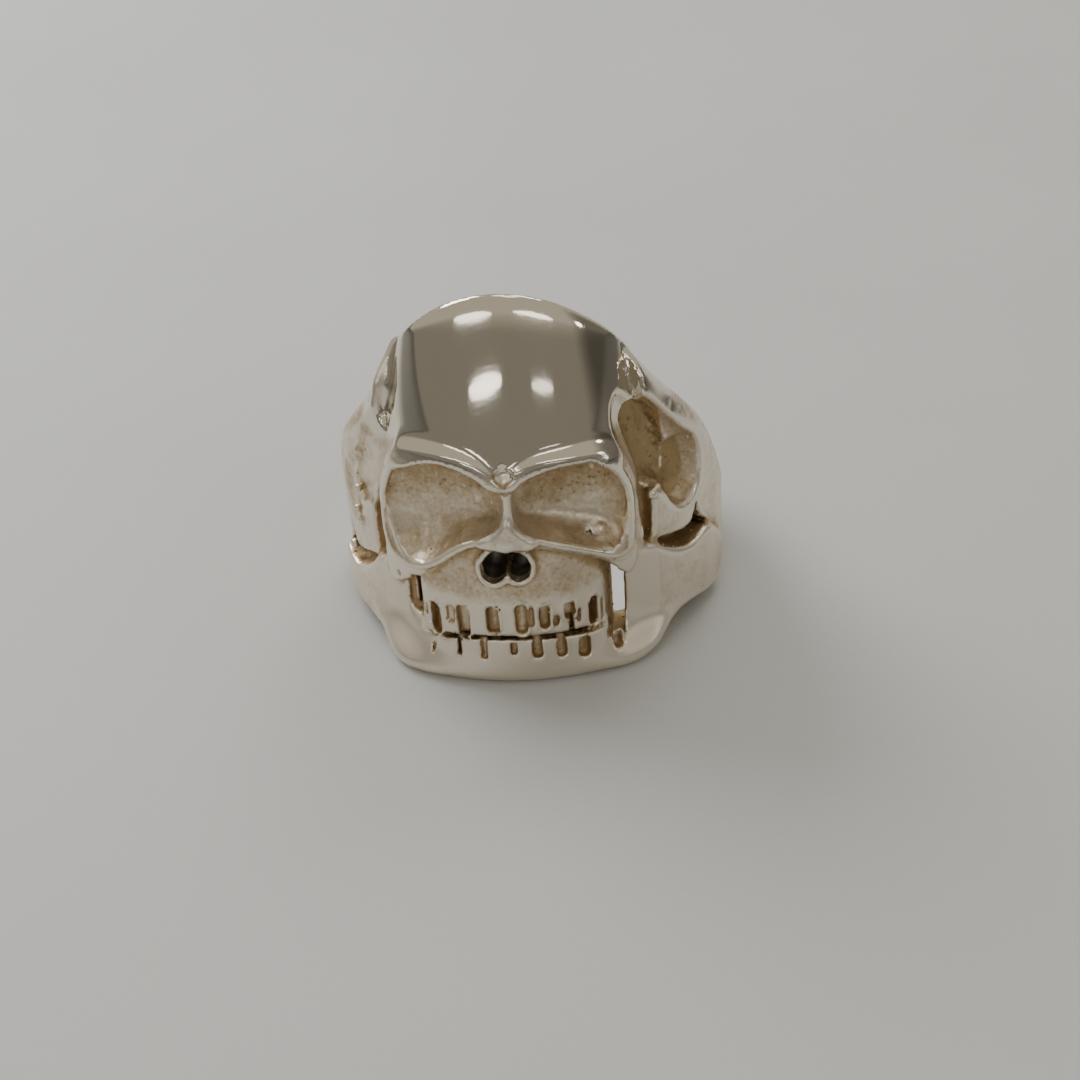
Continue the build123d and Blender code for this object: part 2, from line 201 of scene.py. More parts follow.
class SkullRingStage(bpy.types.PropertyGroup):
    """Table, lights and camera."""

    table: colour("Table", (0.62, 0.63, 0.63), "Colour of the table")
    table_width: length("Table width", 1600.0, "Width of the table")
    light_power: number("Light power", 1.0, "Power of all lamps, as a share of the table of lamps")
    room_colour: colour("Room colour", (0.50, 0.47, 0.40), "Colour of the room all round")
    room_light: number("Room light", 0.45, "Brightness of the room all round")
    room_above: number("Light from above", 2.1, "Brightness overhead, as a share of that low down")
    above_elevation: turn("Light elevation", 66.0, "Height of the brighter part of the room, at the back")
    shade: share("Shade", 0.35, "Brightness of the shaded side of the room")
    # Painted shade on the table's sides and front, as a share of the table's colour.
    painted_table_shade: share("Table shade", 0.18, "Brightness of the table's shaded sides")
    shade_azimuth: turn("Shade azimuth", 108.0, "Direction of the shaded side, from the front to the right")
    # Widths between which the table's painted pool of light gives way to its painted shade.
    painted_pool_width: length("Bright width", 48.0, "Distance aside at which the table starts to darken")
    painted_shade_width: length("Dark width", 105.0, "Distance aside at which the table is fully shaded")
    aim: bpy.props.FloatVectorProperty(
        name="Aim",
        description="Place that the camera looks at",
        default=(0.0001, 0.0, 0.00109),
        unit="LENGTH",
    )
    eye_azimuth: turn("Camera azimuth", 7.45, "Direction of the camera, from the front to the right")
    eye_elevation: turn("Camera elevation", 33.99, "Height of the camera above the table, as an angle")
    eye_distance: length("Camera distance", 135.77, "Distance from the camera to its aim")
    eye_roll: turn("Camera roll", 4.47, "Clockwise turn of the camera about its own axis")
    lens: number("Lens", 62.8, "Focal length in millimetres")
    sensor: number("Sensor", 36.0, "Width of the camera's sensor in millimetres")


# Upper edge of a shoulder. Along is a share of the shoulders' radius, backwards, and rise a share of
# the way from the band's height to the crown.
EDGE_ROWS = (
    # along, rise
    (-1.10, 1.02),
    (-0.88, 1.01),
    (-0.70, 0.99),
    (-0.52, 0.95),
    (-0.42, 0.91),
    (-0.34, 0.86),
    (-0.21, 0.76),
    (-0.05, 0.62),
    (0.10, 0.51),
    (0.22, 0.42),
    (0.34, 0.29),
    (0.50, 0.14),
    (0.66, 0.03),
    (0.80, 0.00),
    (1.50, 0.00),
)

# Outline of the face, in millimetres, from the brow's middle round the right side and back over the left.
FACE_ROWS = (
    # right, up
    (0.0, 15.4),
    (0.9, 16.1),
    (1.8, 16.7),
    (2.8, 16.9),
    (4.8, 16.8),
    (6.0, 16.5),
    (6.7, 15.9),
    (7.2, 14.8),
    (7.6, 13.6),
    (7.8, 12.3),
    (7.8, 10.4),
    (7.9, 8.6),
    (7.8, 7.2),
    (7.3, 6.7),
    (6.8, 7.2),
    (6.2, 8.3),
    (5.0, 9.3),
    (3.2, 10.2),
    (1.8, 10.7),
    (-0.2, 10.6),
    (-2.1, 10.8),
    (-3.1, 10.1),
    (-4.0, 9.5),
    (-4.9, 8.7),
    (-5.8, 7.8),
    (-6.9, 6.7),
    (-7.9, 5.8),
    (-8.5, 5.5),
    (-8.7, 6.4),
    (-8.7, 8.6),
    (-8.75, 11.0),
    (-8.45, 13.2),
    (-8.0, 14.8),
    (-7.2, 15.9),
    (-6.4, 16.7),
    (-4.4, 17.2),
    (-2.6, 17.1),
    (-1.6, 16.7),
    (-0.9, 16.1),
)

# Outlines of the eye sockets, in millimetres, from the nose bridge over the top and back along the bottom.
SOCKET_ROWS = {
    "right": (
        # right, up
        (0.42, 13.7),
        (0.48, 14.9),
        (1.15, 15.75),
        (1.9, 16.25),
        (3.1, 16.55),
        (4.8, 16.45),
        (5.7, 16.25),
        (6.5, 15.4),
        (7.1, 14.2),
        (7.45, 12.9),
        (7.45, 11.0),
        (7.4, 9.6),
        (7.3, 8.9),
        (6.6, 8.95),
        (5.6, 9.7),
        (4.2, 10.5),
        (2.6, 11.25),
        (1.3, 11.8),
        (0.6, 12.6),
    ),
    "left": (
        # right, up
        (0.02, 13.5),
        (0.04, 14.8),
        (-1.0, 15.7),
        (-1.8, 16.3),
        (-3.4, 16.75),
        (-4.5, 16.65),
        (-5.6, 16.2),
        (-7.1, 15.3),
        (-7.7, 14.2),
        (-8.2, 12.6),
        (-8.45, 11.0),
        (-8.4, 9.4),
        (-8.0, 8.4),
        (-7.0, 8.2),
        (-6.0, 8.5),
        (-4.9, 9.2),
        (-3.6, 10.5),
        (-2.6, 11.2),
        (-1.5, 11.5),
        (-0.35, 12.3),
    ),
}

# Outline of a branch of the lower jaw, in degrees round the wall from the face and in millimetres up.
BRANCH_ROWS = (
    # round, up
    (20, 8.0),
    (36, 8.0),
    (42, 7.7),
    (45, 7.1),
    (49, 6.4),
    (53, 6.0),
    (58, 6.1),
    (63, 6.4),
    (67, 6.1),
    (71, 5.3),
    (76, 4.2),
    (79, 2.8),
    (77, 1.4),
    (72, 0.6),
    (66, 0.7),
    (58, 1.2),
    (50, 1.8),
    (42, 2.1),
    (20, 2.0),
)

# Gap between a cheek arch and the branch under it, in the same columns.
GAP_ROWS = (
    # round, up
    (43, 7.4),
    (46, 7.6),
    (50, 7.3),
    (54, 7.1),
    (58, 7.0),
    (60.5, 7.7),
    (61.8, 8.4),
    (62.6, 7.6),
    (64, 6.9),
    (66, 6.5),
    (69, 5.9),
    (64, 6.0),
    (60, 5.8),
    (55, 5.8),
    (50, 6.3),
    (46, 6.9),
)

# Slit behind an eye socket's outer rim, in the same columns.
SLIT_ROWS = (
    # round, up
    (36.5, 13.0),
    (40.5, 12.6),
    (42.3, 10.8),
    (42.3, 9.0),
    (41.2, 7.7),
    (39.3, 7.7),
    (38.2, 9.4),
    (37.0, 11.0),
)

# Smooth edge of a temple's hollow, its rough recess and its rear hollow, in the same columns.
TEMPLE_ROWS = (
    # round, up
    (31, 15.3),
    (29.5, 17.0),
    (30, 18.6),
    (33, 19.4),
    (37, 19.3),
    (42, 18.6),
    (47, 17.5),
    (52, 15.9),
    (57, 14.6),
    (61, 13.9),
    (64.5, 12.6),
    (65.5, 11.0),
    (63, 9.4),
    (57, 8.7),
    (51, 9.4),
    (47, 11.0),
    (43, 11.4),
    (37, 11.5),
    (34, 13.2),
)
RECESS_ROWS = (
    # round, up
    (35, 16.6),
    (36.5, 17.8),
    (40, 18.0),
    (44, 17.6),
    (48, 16.6),
    (50.5, 15.2),
    (52, 14.0),
    (53.5, 13.0),
    (54.5, 11.9),
    (53, 10.9),
    (49, 11.3),
    (45, 11.8),
    (41, 11.6),
    (38, 12.0),
    (36.5, 14.0),
    (35, 15.4),
)
REAR_ROWS = (
    # round, up
    (56, 13.7),
    (60, 13.6),
    (63, 12.6),
    (64, 11.0),
    (62.5, 9.8),
    (59, 9.1),
    (54, 9.0),
    (50.5, 9.9),
    (48.5, 11.2),
    (48.2, 12.4),
    (50, 13.3),
    (53, 13.7),
)

# Ragged outline of the nose hole, in millimetres.
NOSE_ROWS = (
    # right, up
    (-1.30, 10.35),
    (-0.90, 10.75),
    (-0.40, 10.85),
    (0.30, 10.75),
    (0.90, 10.55),
    (1.25, 10.00),
    (1.35, 9.40),
    (1.25, 8.85),
    (0.85, 8.45),
    (0.20, 8.45),
    (0.05, 8.80),
    (-0.12, 9.05),
    (-0.35, 8.75),
    (-0.60, 8.40),
    (-1.15, 8.15),
    (-1.60, 8.50),
    (-1.80, 9.10),
    (-1.80, 9.60),
)

# Outline of the raised tip of the nose over the hole, in millimetres.
NOSE_TIP_ROWS = (
    # right, up
    (0.20, 13.3),
    (0.75, 12.3),
    (1.95, 11.5),
    (1.90, 11.0),
    (1.10, 10.9),
    (0.20, 11.05),
    (-1.00, 10.95),
    (-1.90, 11.1),
    (-2.00, 11.5),
    (-0.55, 12.3),
)

# Slots between the upper teeth, in millimetres. Along is measured round the arc of the teeth to the
# right, and rim is the radius of the slot's raised edge, or 0 where it has none.
UPPER_SLOTS = (
    # along, half width, half height, level, depth, rim
    (-6.40, 0.17, 0.40, 4.80, 0.30, 0.00),
    (-5.57, 0.38, 1.25, 4.50, 0.68, 0.13),
    (-4.40, 0.28, 0.70, 5.15, 0.24, 0.00),
    (-3.45, 0.42, 1.25, 4.85, 0.49, 0.10),
    (-1.40, 0.41, 1.08, 5.25, 0.63, 0.10),
    (0.50, 0.37, 1.18, 5.40, 0.49, 0.15),
    (1.15, 0.14, 0.78, 5.50, 0.35, 0.00),
    (2.03, 0.35, 0.94, 5.37, 0.58, 0.12),
    (2.75, 0.20, 0.43, 4.90, 0.39, 0.00),
    (3.70, 0.36, 0.62, 5.55, 0.49, 0.12),
    (3.80, 0.17, 0.55, 4.35, 0.68, 0.00),
    (4.35, 0.13, 0.50, 4.90, 0.35, 0.00),
    (5.45, 0.31, 1.10, 4.85, 0.89, 0.12),
    (6.15, 0.15, 0.75, 4.55, 0.39, 0.00),
)

# Slots between the lower teeth, in the same columns.
LOWER_SLOTS = (
    # along, half width, half height, level, depth, rim
    (-5.87, 0.09, 0.50, 2.35, 0.22, 0.00),
    (-3.87, 0.15, 0.60, 2.70, 0.49, 0.00),
    (-2.15, 0.19, 0.80, 2.85, 0.31, 0.00),
    (-0.15, 0.22, 0.50, 3.05, 0.41, 0.00),
    (1.40, 0.33, 0.80, 2.95, 0.54, 0.05),
    (3.00, 0.33, 0.80, 2.80, 0.49, 0.06),
    (4.55, 0.40, 0.82, 2.50, 0.54, 0.08),
    (7.00, 0.33, 0.60, 2.10, 0.41, 0.12),
)

# Single casting beads on the wall and in the sockets, in millimetres.
BEAD_ROWS = (
    # right, behind the axis, up, radius
    (8.85, -9.79, 11.30, 0.38),
    (9.19, -9.48, 11.70, 0.24),
    (-10.76, -7.65, 10.60, 0.28),
    (-11.17, -7.03, 8.60, 0.26),
    (-10.89, -7.46, 7.90, 0.26),
    (-12.06, -5.37, 4.60, 0.36),
    (-2.10, -13.50, 10.50, 0.50),
    (5.55, -12.00, 10.15, 0.42),
)

# Single small pits, in the same columns.
DENT_ROWS = (
    # right, behind the axis, up, radius
    (-7.90, -11.92, 6.65, 0.24),
    (4.85, -12.50, 10.10, 0.24),
)

# Oval lamps round the ring. Azimuth and elevation are in degrees, from the front towards the right and
# above the table. Tilt is the lamp's clockwise turn as it looks at the ring, in degrees too. Distance,
# width and height are in metres and power is in watts. Warmth runs from 0, white, to 1, warm.
LAMP_ROWS = (
    # name, azimuth, elevation, tilt, distance, width, height, power, warmth
    ("window left", -130, 40, 0, 0.34, 0.24, 0.18, 0.66, 0.0),
    ("window right", 160, 50, 0, 0.50, 0.20, 0.16, 0.30, 0.1),
    ("ceiling", 175, 78, 0, 0.70, 0.30, 0.30, 0.35, 0.2),
    ("front lamp left", -19, 19.8, -11, 0.50, 0.27, 0.036, 0.075, 0.2),
    ("front lamp right", 35, 17.7, 12, 0.50, 0.17, 0.020, 0.016, 0.2),
    ("crown lamp left", -37, 31.5, -17, 0.50, 0.36, 0.042, 0.090, 0.1),
    ("crown lamp right", 37, 34.0, 17, 0.50, 0.36, 0.042, 0.090, 0.1),
    ("side lamp", 87, 17, 0, 0.50, 0.06, 0.05, 0.04, 0.1),
)


# Reach of the round where two forms meet, in millimetres.
BLEND = SimpleNamespace(
    closing=0.8,
    valley=0.5,
    underside=0.7,
    temple_edge=1.6,
    recess_edge=0.6,
    rear_edge=1.5,
    recess=0.15,
    rear=0.4,
    temple=0.25,
    jaw_side=0.7,
    jaw_bite=0.25,
    branch_edge=0.5,
    branch_front=0.4,
    socket_edge=0.45,
    socket=0.15,
    socket_rim=0.12,
    slot_rim=0.1,
    slot_floor=0.15,
    slot=0.08,
    dome_foot=0.4,
    crease=0.35,
    front=0.5,
    face_edge=0.3,
    upper_jaw=0.3,
    lower_jaw=0.25,
    tip_edge=0.3,
    tip=0.3,
    lip=0.15,
    slit_floor=0.5,
    slit=0.2,
    gap_floor=0.3,
    gap=0.18,
    jaw_gap=0.3,
    bite=0.16,
    mark=0.06,
    bead=0.15,
    dent=0.12,
    bore=0.3,
)

# Ranges over which a form sets in, in millimetres: of height, or to one side where the name says so.
FADE = SimpleNamespace(
    hang_aside=(5, 12),
    hang=(11, 17),
    sag_start=(8, 14),
    sag_end=(20, 26),
    valley=(14.5, 17.5),
    shoulder_round=(12, 18),
    temple_aside=(-1, 1),
    chin=(0.6, 2.6),
    chin_aside=(4.5, 8.5),
    brow=(14.0, 16.5),
    fill_aside=(2, 5),
    fill=(17.5, 19.5),
    crown_rim=(20, 25),
)

# Share of the wall's unevenness or of the hollows' roughness that each form takes.
ROUGH = SimpleNamespace(
    recess=0.5,
    recess_rear=1.2,
    recess_floor=0.4,
    rear=0.3,
    slot=0.25,
    face=0.3,
    upper_jaw=0.5,
    lower_jaw=0.7,
    nose=0.6,
    slit=0.3,
    gap=0.3,
)

# Layers of unevenness of the cast metal, in millimetres.
NOISE_ROWS = {
    # spacing, height
    "metal": ((4.1, 0.07), (1.9, 0.03)),
    "hollows": ((0.8, 0.12), (0.45, 0.06)),
    "socket floors": ((2.4, 0.12),),
    "sockets": ((0.9, 0.06), (0.45, 0.03)),
}
NOISE_SEED = 5

# Middles of the eye sockets, in millimetres.
SOCKET_MIDDLES = {
    # right, up
    "right": (3.95, 12.8),
    "left": (-4.2, 12.4),
}
# How far below and above a socket's middle the round between its floor and its rim gets smaller.
SOCKET_SWEEP = (-3.0, 0.5)

# Round bars of the nose, each end right, behind the axis and up, in millimetres.
NOSE_BARS = {
    # start, end, radius at the start, radius at the end, reach of the round to the face
    "ridge": ((0.28, -15.3, 15.2), (0.12, -15.4, 12.2), 0.2, 0.32, 0.3),
    "tip": ((0.1, -15.4, 12.0), (0.0, -15.45, 11.5), 0.4, 0.62, 0.5),
}

# Smoothing of the shoulders' edge: points along it, and how many of them are averaged.
EDGE_POINTS = 400
EDGE_WINDOW = 27

# Flat outlines: their table, how often their corners are cut off, and whether they lie on the wall.
OUTLINES = {
    # rows, rounds, on the wall
    "face": (FACE_ROWS, 2, False),
    "right": (SOCKET_ROWS["right"], 1, False),
    "left": (SOCKET_ROWS["left"], 1, False),
    "nose": (NOSE_ROWS, 1, False),
    "tip": (NOSE_TIP_ROWS, 1, False),
    "branch": (BRANCH_ROWS, 2, True),
    "gap": (GAP_ROWS, 1, True),
    "slit": (SLIT_ROWS, 1, True),
    "temple": (TEMPLE_ROWS, 2, True),
    "recess": (RECESS_ROWS, 2, True),
    "rear": (REAR_ROWS, 2, True),
}

# Places that bound single forms, in millimetres.
FRONT_HALF = -5
FACE_FRONT = -12
NOSE_BACK = -9
TEETH_TOP = 8.0
BRANCH_FOOT = 3
BITE_DROP_END = 6.5
BITE_REACH = 0.3
CHIN_SLOPE_START = 0.2
CHIN_SLOPE_HEIGHT = 4
RECESS_REAR = (0.8, 0.92)
MARK_ASIDE = 0.15
SLOT_RIM_GAP = 0.1
RIM_SINK = 0.05
FACE_OVER_DOME = 3

# How far out a socket's rim lies, as a share of its radius, and how fast the face ends behind the axis.
RIM_PLACE = 0.8
FACE_END = 0.7

# Distance given to a form outside its own place, and further off for a form measured from the metal.
OUTSIDE = 1.0
FAR_OUTSIDE = 5.0


def smooth_min(a, b, reach):
    """Union of two fields, blended over the reach."""
    h = np.clip(0.5 + 0.5 * (b - a) / reach, 0.0, 1.0)
    return b + (a - b) * h - reach * h * (1.0 - h)


def smooth_max(a, b, reach):
    """Intersection of two fields, blended over the reach."""
    return -smooth_min(-a, -b, reach)


def ellipsoid(a, b, c, radius_a, radius_b, radius_c):
    """Distance to an ellipsoid, near enough close to its surface."""
    k0 = np.sqrt((a / radius_a) ** 2 + (b / radius_b) ** 2 + (c / radius_c) ** 2)
    k1 = np.sqrt((a / radius_a**2) ** 2 + (b / radius_b**2) ** 2 + (c / radius_c**2) ** 2)
    return k0 * (k0 - 1.0) / np.maximum(k1, 1e-6)


def capsule(x, y, z, start, end, radius_start, radius_end):
    """Distance to a round bar whose radius changes along it."""
    away = (x - start[0], y - start[1], z - start[2])
    run = [end[i] - start[i] for i in range(3)]
    square = sum(r * r for r in run)
    t = np.clip((away[0] * run[0] + away[1] * run[1] + away[2] * run[2]) / square, 0, 1)
    aside = np.sqrt(sum((a - t * r) ** 2 for a, r in zip(away, run)))
    return aside - (radius_start + (radius_end - radius_start) * t)


def rounded(points, rounds):
    """Closed outline with its corners cut off a few times."""
    p = np.asarray(points, float)
    for _ in range(rounds):
        following = np.roll(p, -1, axis=0)
        p = np.stack([0.75 * p + 0.25 * following, 0.25 * p + 0.75 * following], axis=1).reshape(-1, 2)
    return p


class Outline:
    """Signed distance to a closed flat outline, negative inside, kept on a fine grid."""

    margin = 3.0
    cell = 0.06

    def __init__(self, points):
        """Works the grid out from the outline's points."""
        p = np.asarray(points, float)
        self.low = p.min(0) - self.margin
        size = np.ceil((p.max(0) + self.margin - self.low) / self.cell).astype(int) + 1
        across, up = (self.low[i] + self.cell * np.arange(size[i]) for i in range(2))
        u, v = np.meshgrid(across, up, indexing="ij")
        nearest = np.full(u.shape, 1e9)
        inside = np.zeros(u.shape, bool)
        for (u0, v0), (u1, v1) in zip(p, np.roll(p, -1, axis=0)):
            du, dv = u1 - u0, v1 - v0
            t = np.clip(((u - u0) * du + (v - v0) * dv) / (du * du + dv * dv + 1e-12), 0, 1)
            nearest = np.minimum(nearest, (u - u0 - t * du) ** 2 + (v - v0 - t * dv) ** 2)
            if dv != 0:
                inside ^= ((v0 > v) != (v1 > v)) & (u < du * (v - v0) / dv + u0)
        self.values = (np.sqrt(nearest) * np.where(inside, -1, 1)).astype(np.float32)

    def __call__(self, u, v):
        """Distance at these places, from the four nearest points of the grid."""
        g = self.values
        a = np.clip((u - self.low[0]) / self.cell, 0, g.shape[0] - 1.001)
        b = np.clip((v - self.low[1]) / self.cell, 0, g.shape[1] - 1.001)
        i, j = a.astype(np.int32), b.astype(np.int32)
        fa, fb = a - i, b - j
        low = g[i, j] * (1 - fa) + g[i + 1, j] * fa
        high = g[i, j + 1] * (1 - fa) + g[i + 1, j + 1] * fa
        return low * (1 - fb) + high * fb


class Noise:
    """Smooth noise between -1 and 1 on a repeating lattice with a fixed seed."""

    size = 32
    shift = (7.3, 3.1, 5.7)

    def __init__(self, seed):
        """Draws the lattice's values."""
        self.table = np.random.default_rng(seed).uniform(-1, 1, (self.size,) * 3).astype(np.float32)

    def layer(self, x, y, z, spacing):
        """Noise whose lattice points lie that far apart."""
        whole, part = [], []
        for value, shift in zip((x, y, z), self.shift):
            place = value / spacing + shift
            floor = np.floor(place)
            f = place - floor
            whole.append(floor.astype(np.int32))
            part.append(f * f * (3 - 2 * f))
        total = 0
        for corner in range(8):
            bits = (corner & 1, corner >> 1 & 1, corner >> 2)
            weight = 1.0
            for f, bit in zip(part, bits):
                weight = weight * (f if bit else 1 - f)
            i, j, k = ((w + bit) % self.size for w, bit in zip(whole, bits))
            total = total + self.table[i, j, k] * weight
        return total

    def layers(self, x, y, z, name):
        """Sum of the layers that the table gives under this name."""
        return sum(self.layer(x, y, z, spacing) * height for spacing, height in NOISE_ROWS[name])


def backwards(ax, y, angle):
    """Distance backwards along the wall, from the direction at that angle from the face."""
    return ax * math.cos(angle) + y * math.sin(angle)


def step(value, low, high):
    """Soft step from 0 to 1 between two values."""
    t = np.clip((value - low) / (high - low), 0, 1)
    return t * t * (3 - 2 * t)


def ball(x, y, z, middle, radius):
    """Distance to a ball, its middle given right, behind the axis and up."""
    return np.sqrt((x - middle[0]) ** 2 + (y - middle[1]) ** 2 + (z - middle[2]) ** 2) - radius


class RingField:
    """Distance to the ring's surface in millimetres, negative inside the metal."""

    def __init__(self, sizes):
        """Prepares the outlines, the shoulders' edge and the noise for these sizes."""
        s = self.s = sizes
        self.line = {
            name: Outline(rounded(self.on_wall(rows) if on_wall else rows, rounds))
            for name, (rows, rounds, on_wall) in OUTLINES.items()
        }
        along = np.array([a for a, _ in EDGE_ROWS]) * s.shoulder_radius
        level = s.band_height + np.array([r for _, r in EDGE_ROWS]) * (s.crown_height - s.band_height)
        self.edge_along = np.linspace(along[0], along[-1], EDGE_POINTS)
        window = np.hanning(EDGE_WINDOW)
        smooth = np.pad(np.interp(self.edge_along, along, level), len(window) // 2, mode="edge")
        self.edge_level = np.convolve(smooth, window / window.sum(), mode="valid")
        self.edge_slope = np.gradient(self.edge_level, self.edge_along)
        self.noise = Noise(NOISE_SEED)

    def on_wall(self, rows):
        """Points of the unrolled wall from degrees round it and millimetres up."""
        return [(math.radians(a) * self.s.shoulder_radius, u) for a, u in rows]

    def unrolled(self, x, y, z):
        """Distance round the wall from the face's middle and height, where the left side hangs lower."""
        s = self.s
        hang = step(-x, *FADE.hang_aside) * (1 - step(z, *FADE.hang))
        around = np.arctan2(np.abs(x), -y) * s.shoulder_radius
        return around - s.left_turn * hang, z + s.left_drop * hang

    def wall(self, x, y, z, ax, r):
        """Wall round the finger hole, cut to its upper edge and its raised underside."""
        s = self.s
        u = backwards(ax, y, s.shoulder_angle)
        left = np.clip(0.5 - x / 2, 0, 1) * step(z, *FADE.sag_start) * (1 - step(z, *FADE.sag_end))
        top = np.interp(u, self.edge_along, self.edge_level) - s.shoulder_sag * left
        slope = np.interp(u, self.edge_along, self.edge_slope)
        over = (z - top) / np.sqrt(1 + slope * slope)
        back = np.sqrt((ax / s.shoulder_radius) ** 2 + (y / s.back_radius) ** 2)
        outer = np.where(y < 0, r - s.shoulder_radius, (back - 1) * r / np.maximum(back, 1e-6))
        start = s.crown_height - s.crown_fall
        middle = s.shoulder_radius + s.crown_margin - s.crown_round
        closing = ellipsoid(
            np.maximum(r - middle, 0), np.maximum(z - start, 0), 0 * z, s.crown_round, s.crown_fall, 1.0
        )
        outer = smooth_max(outer, closing, BLEND.closing)
        aside = step(np.arctan2(ax, -y), s.valley_start, s.valley_end) + 1 - step(z, *FADE.valley)
        valley = self.dome(x, y, z) + s.dome_cover - (s.valley_width + s.dome_cover) * aside
        outer = smooth_max(outer, valley, BLEND.valley)
        run = s.underside_back + s.underside_front
        arch_radius = (run**2 + s.underside_lift**2) / (2 * s.underside_lift)
        under = np.clip(s.underside_back - u, 0, run) ** 2 / (2 * arch_radius) - z
        edge_round = s.band_round + s.shoulder_round * step(z, *FADE.shoulder_round)
        return smooth_max(smooth_max(outer, over, edge_round), under, BLEND.underside)

    def pocket(self, line, depth, r, reach, floor=0.0):
        """Hollow in the wall with that outline and depth, its bottom edge rounded over the reach."""
        return smooth_max(line, self.s.shoulder_radius - depth + floor - r, reach)

    def temple(self, x, around, up, r, rough):
        """Hollow of a temple: a smooth edge, a deeper rough recess and a rear hollow, faint on the left."""
        s = self.s
        strength = s.left_relief + (1 - s.left_relief) * step(x, *FADE.temple_aside)
        rear_share = step(around / s.shoulder_radius, *RECESS_REAR)
        ragged = rough * (ROUGH.recess + ROUGH.recess_rear * rear_share)
        rough = rough * ROUGH.rear
        line = self.line["temple"](around, up)
        bowl = self.pocket(line, s.edge_depth * strength, r, BLEND.temple_edge)
        line = self.line["recess"](around, up) + ragged
        floor = ragged * ROUGH.recess_floor
        recess = self.pocket(line, s.recess_depth * strength, r, BLEND.recess_edge, floor)
        line = self.line["rear"](around, up) + rough
        rear = self.pocket(line, s.rear_depth * strength, r, BLEND.rear_edge, rough)
        return smooth_min(smooth_min(bowl, recess, BLEND.recess), rear, BLEND.rear)

    def jaw_half(self, x):
        """Half width of the upper jaw, which reaches further out on the left."""
        return self.s.maxilla_half_width + self.s.left_jaw * (x < 0)

    def arc(self, x, y, radius):
        """Radius of an arc of teeth, which is flatter on the left, and the distance outside it."""
        radius = radius + self.s.left_flat * (x < 0)
        return radius, np.hypot(x, y + self.s.face_depth - radius) - radius

    def upper_jaw(self, x, y, z, ax, drop):
        """Bone, gum and teeth of the upper jaw, as one smooth bulge."""
        s = self.s
        bulge = s.maxilla_relief * (1 - step(z, s.gum_level, s.gum_level + s.gum_slope))
        jaw = self.arc(x, y, s.maxilla_round)[1] + s.maxilla_relief - bulge
        jaw = smooth_max(jaw, ax - self.jaw_half(x), BLEND.jaw_side)
        jaw = np.maximum(jaw, z - s.maxilla_top)
        jaw = smooth_max(jaw, s.bite_level - drop - z, BLEND.jaw_bite)
        return np.maximum(jaw, y)

    def lower_jaw(self, x, y, z, ax, r, around, up, drop):
        """Chin and the two branches that run back over the band."""
        s = self.s
        teeth = self.arc(x, y, s.jaw_round)[1]
        base = np.hypot(x + s.chin_aside, y + s.face_depth - s.chin_arc) - s.chin_arc
        chin = base + (teeth - base) * step(z, *FADE.chin)
        rise = np.clip(z - CHIN_SLOPE_START, 0, CHIN_SLOPE_HEIGHT)
        chin = chin + s.chin_slope * rise**2 * step(ax, *FADE.chin_aside)
        chin = smooth_max(chin, -z, s.chin_round)
        chin = np.maximum(chin, z - s.bite_level + s.bite_gap + drop)
        chin = np.maximum(smooth_max(chin, ax - s.jaw_half_width, s.chin_corner), y)
        level = np.where(up < BRANCH_FOOT, z, up)
        plate = self.line["branch"](around, level)
        plate = smooth_max(plate, r - s.branch_radius, BLEND.branch_edge)
        plate = smooth_max(plate, self.jaw_half(x) + s.jaw_gap_right - ax, BLEND.branch_front)
        return smooth_min(chin, plate, s.chin_blend)

    def jaw_gap(self, x, y, z, ax):
        """Gap between the upper jaw and a branch, open down to the table inside the ring."""
        s = self.s
        level = s.jaw_gap_level + s.jaw_gap_lift * (x < 0)
        low = level - s.jaw_gap_fall * np.clip(1 + y / s.shoulder_radius, 0, 1)
        half = np.where(x > 0, s.jaw_gap_right, s.jaw_gap_left) / 2
        gap = np.maximum(np.abs(ax - self.jaw_half(x) - half) - half, low - z)
        gap = np.maximum(gap, z - s.jaw_gap_level - s.jaw_gap_height)
        return np.maximum(gap, y)

    def bite(self, x, y, z, ax, drop):
        """Gap between the upper and the lower teeth."""
        s = self.s
        gap = np.abs(z - s.bite_level + s.bite_gap / 2 + drop) - s.bite_gap / 2
        inside = -s.bite_depth - self.arc(x, y, s.jaw_round)[1]
        return np.maximum(np.maximum(gap, inside), ax - self.jaw_half(x) - BITE_REACH)

    def socket(self, x, y, z, line, middle):
        """Hollow of an eye socket with its uneven, pitted floor, inside an outline round that middle."""
        s = self.s
        across, up = middle
        turned = math.asin(across / s.face_round)
        far = s.face_round - s.socket_depth + s.socket_bowl
        behind = -(s.face_depth - s.face_round + far * math.cos(turned))
        floor = ball(x, y, z, (far * math.sin(turned), behind, up), s.socket_bowl)
        floor = floor + self.noise.layers(x, y, z, "socket floors")
        below, above = SOCKET_SWEEP
        reach = BLEND.socket_edge + s.socket_sweep * (1 - step(z, up + below, up + above))
        return smooth_max(line, floor, reach) + self.noise.layers(x, y, z, "sockets")

    def teeth(self, metal, x, y, z, rows, radius, rough):
        """Metal with a row of slots cut into an arc of teeth, some with a raised rim."""
        radius, proud = self.arc(x, y, radius)
        arc = np.arctan2(x, radius - self.s.face_depth - y) * radius
        near = (z < TEETH_TOP) & (y < FRONT_HALF)
        for along, half_width, half_height, level, depth, rim in rows:
            end = half_height - half_width
            flat = np.hypot(arc - along, z - np.clip(z, level - end, level + end)) - half_width
            if rim:
                raised = np.hypot(flat - SLOT_RIM_GAP, proud) - rim
                metal = smooth_min(metal, np.where(near, raised, OUTSIDE), BLEND.slot_rim)
            slot = smooth_max(flat + rough * ROUGH.slot, -depth - proud, BLEND.slot_floor)
            metal = smooth_max(metal, np.where(near, -slot, -OUTSIDE), BLEND.slot)
        return metal

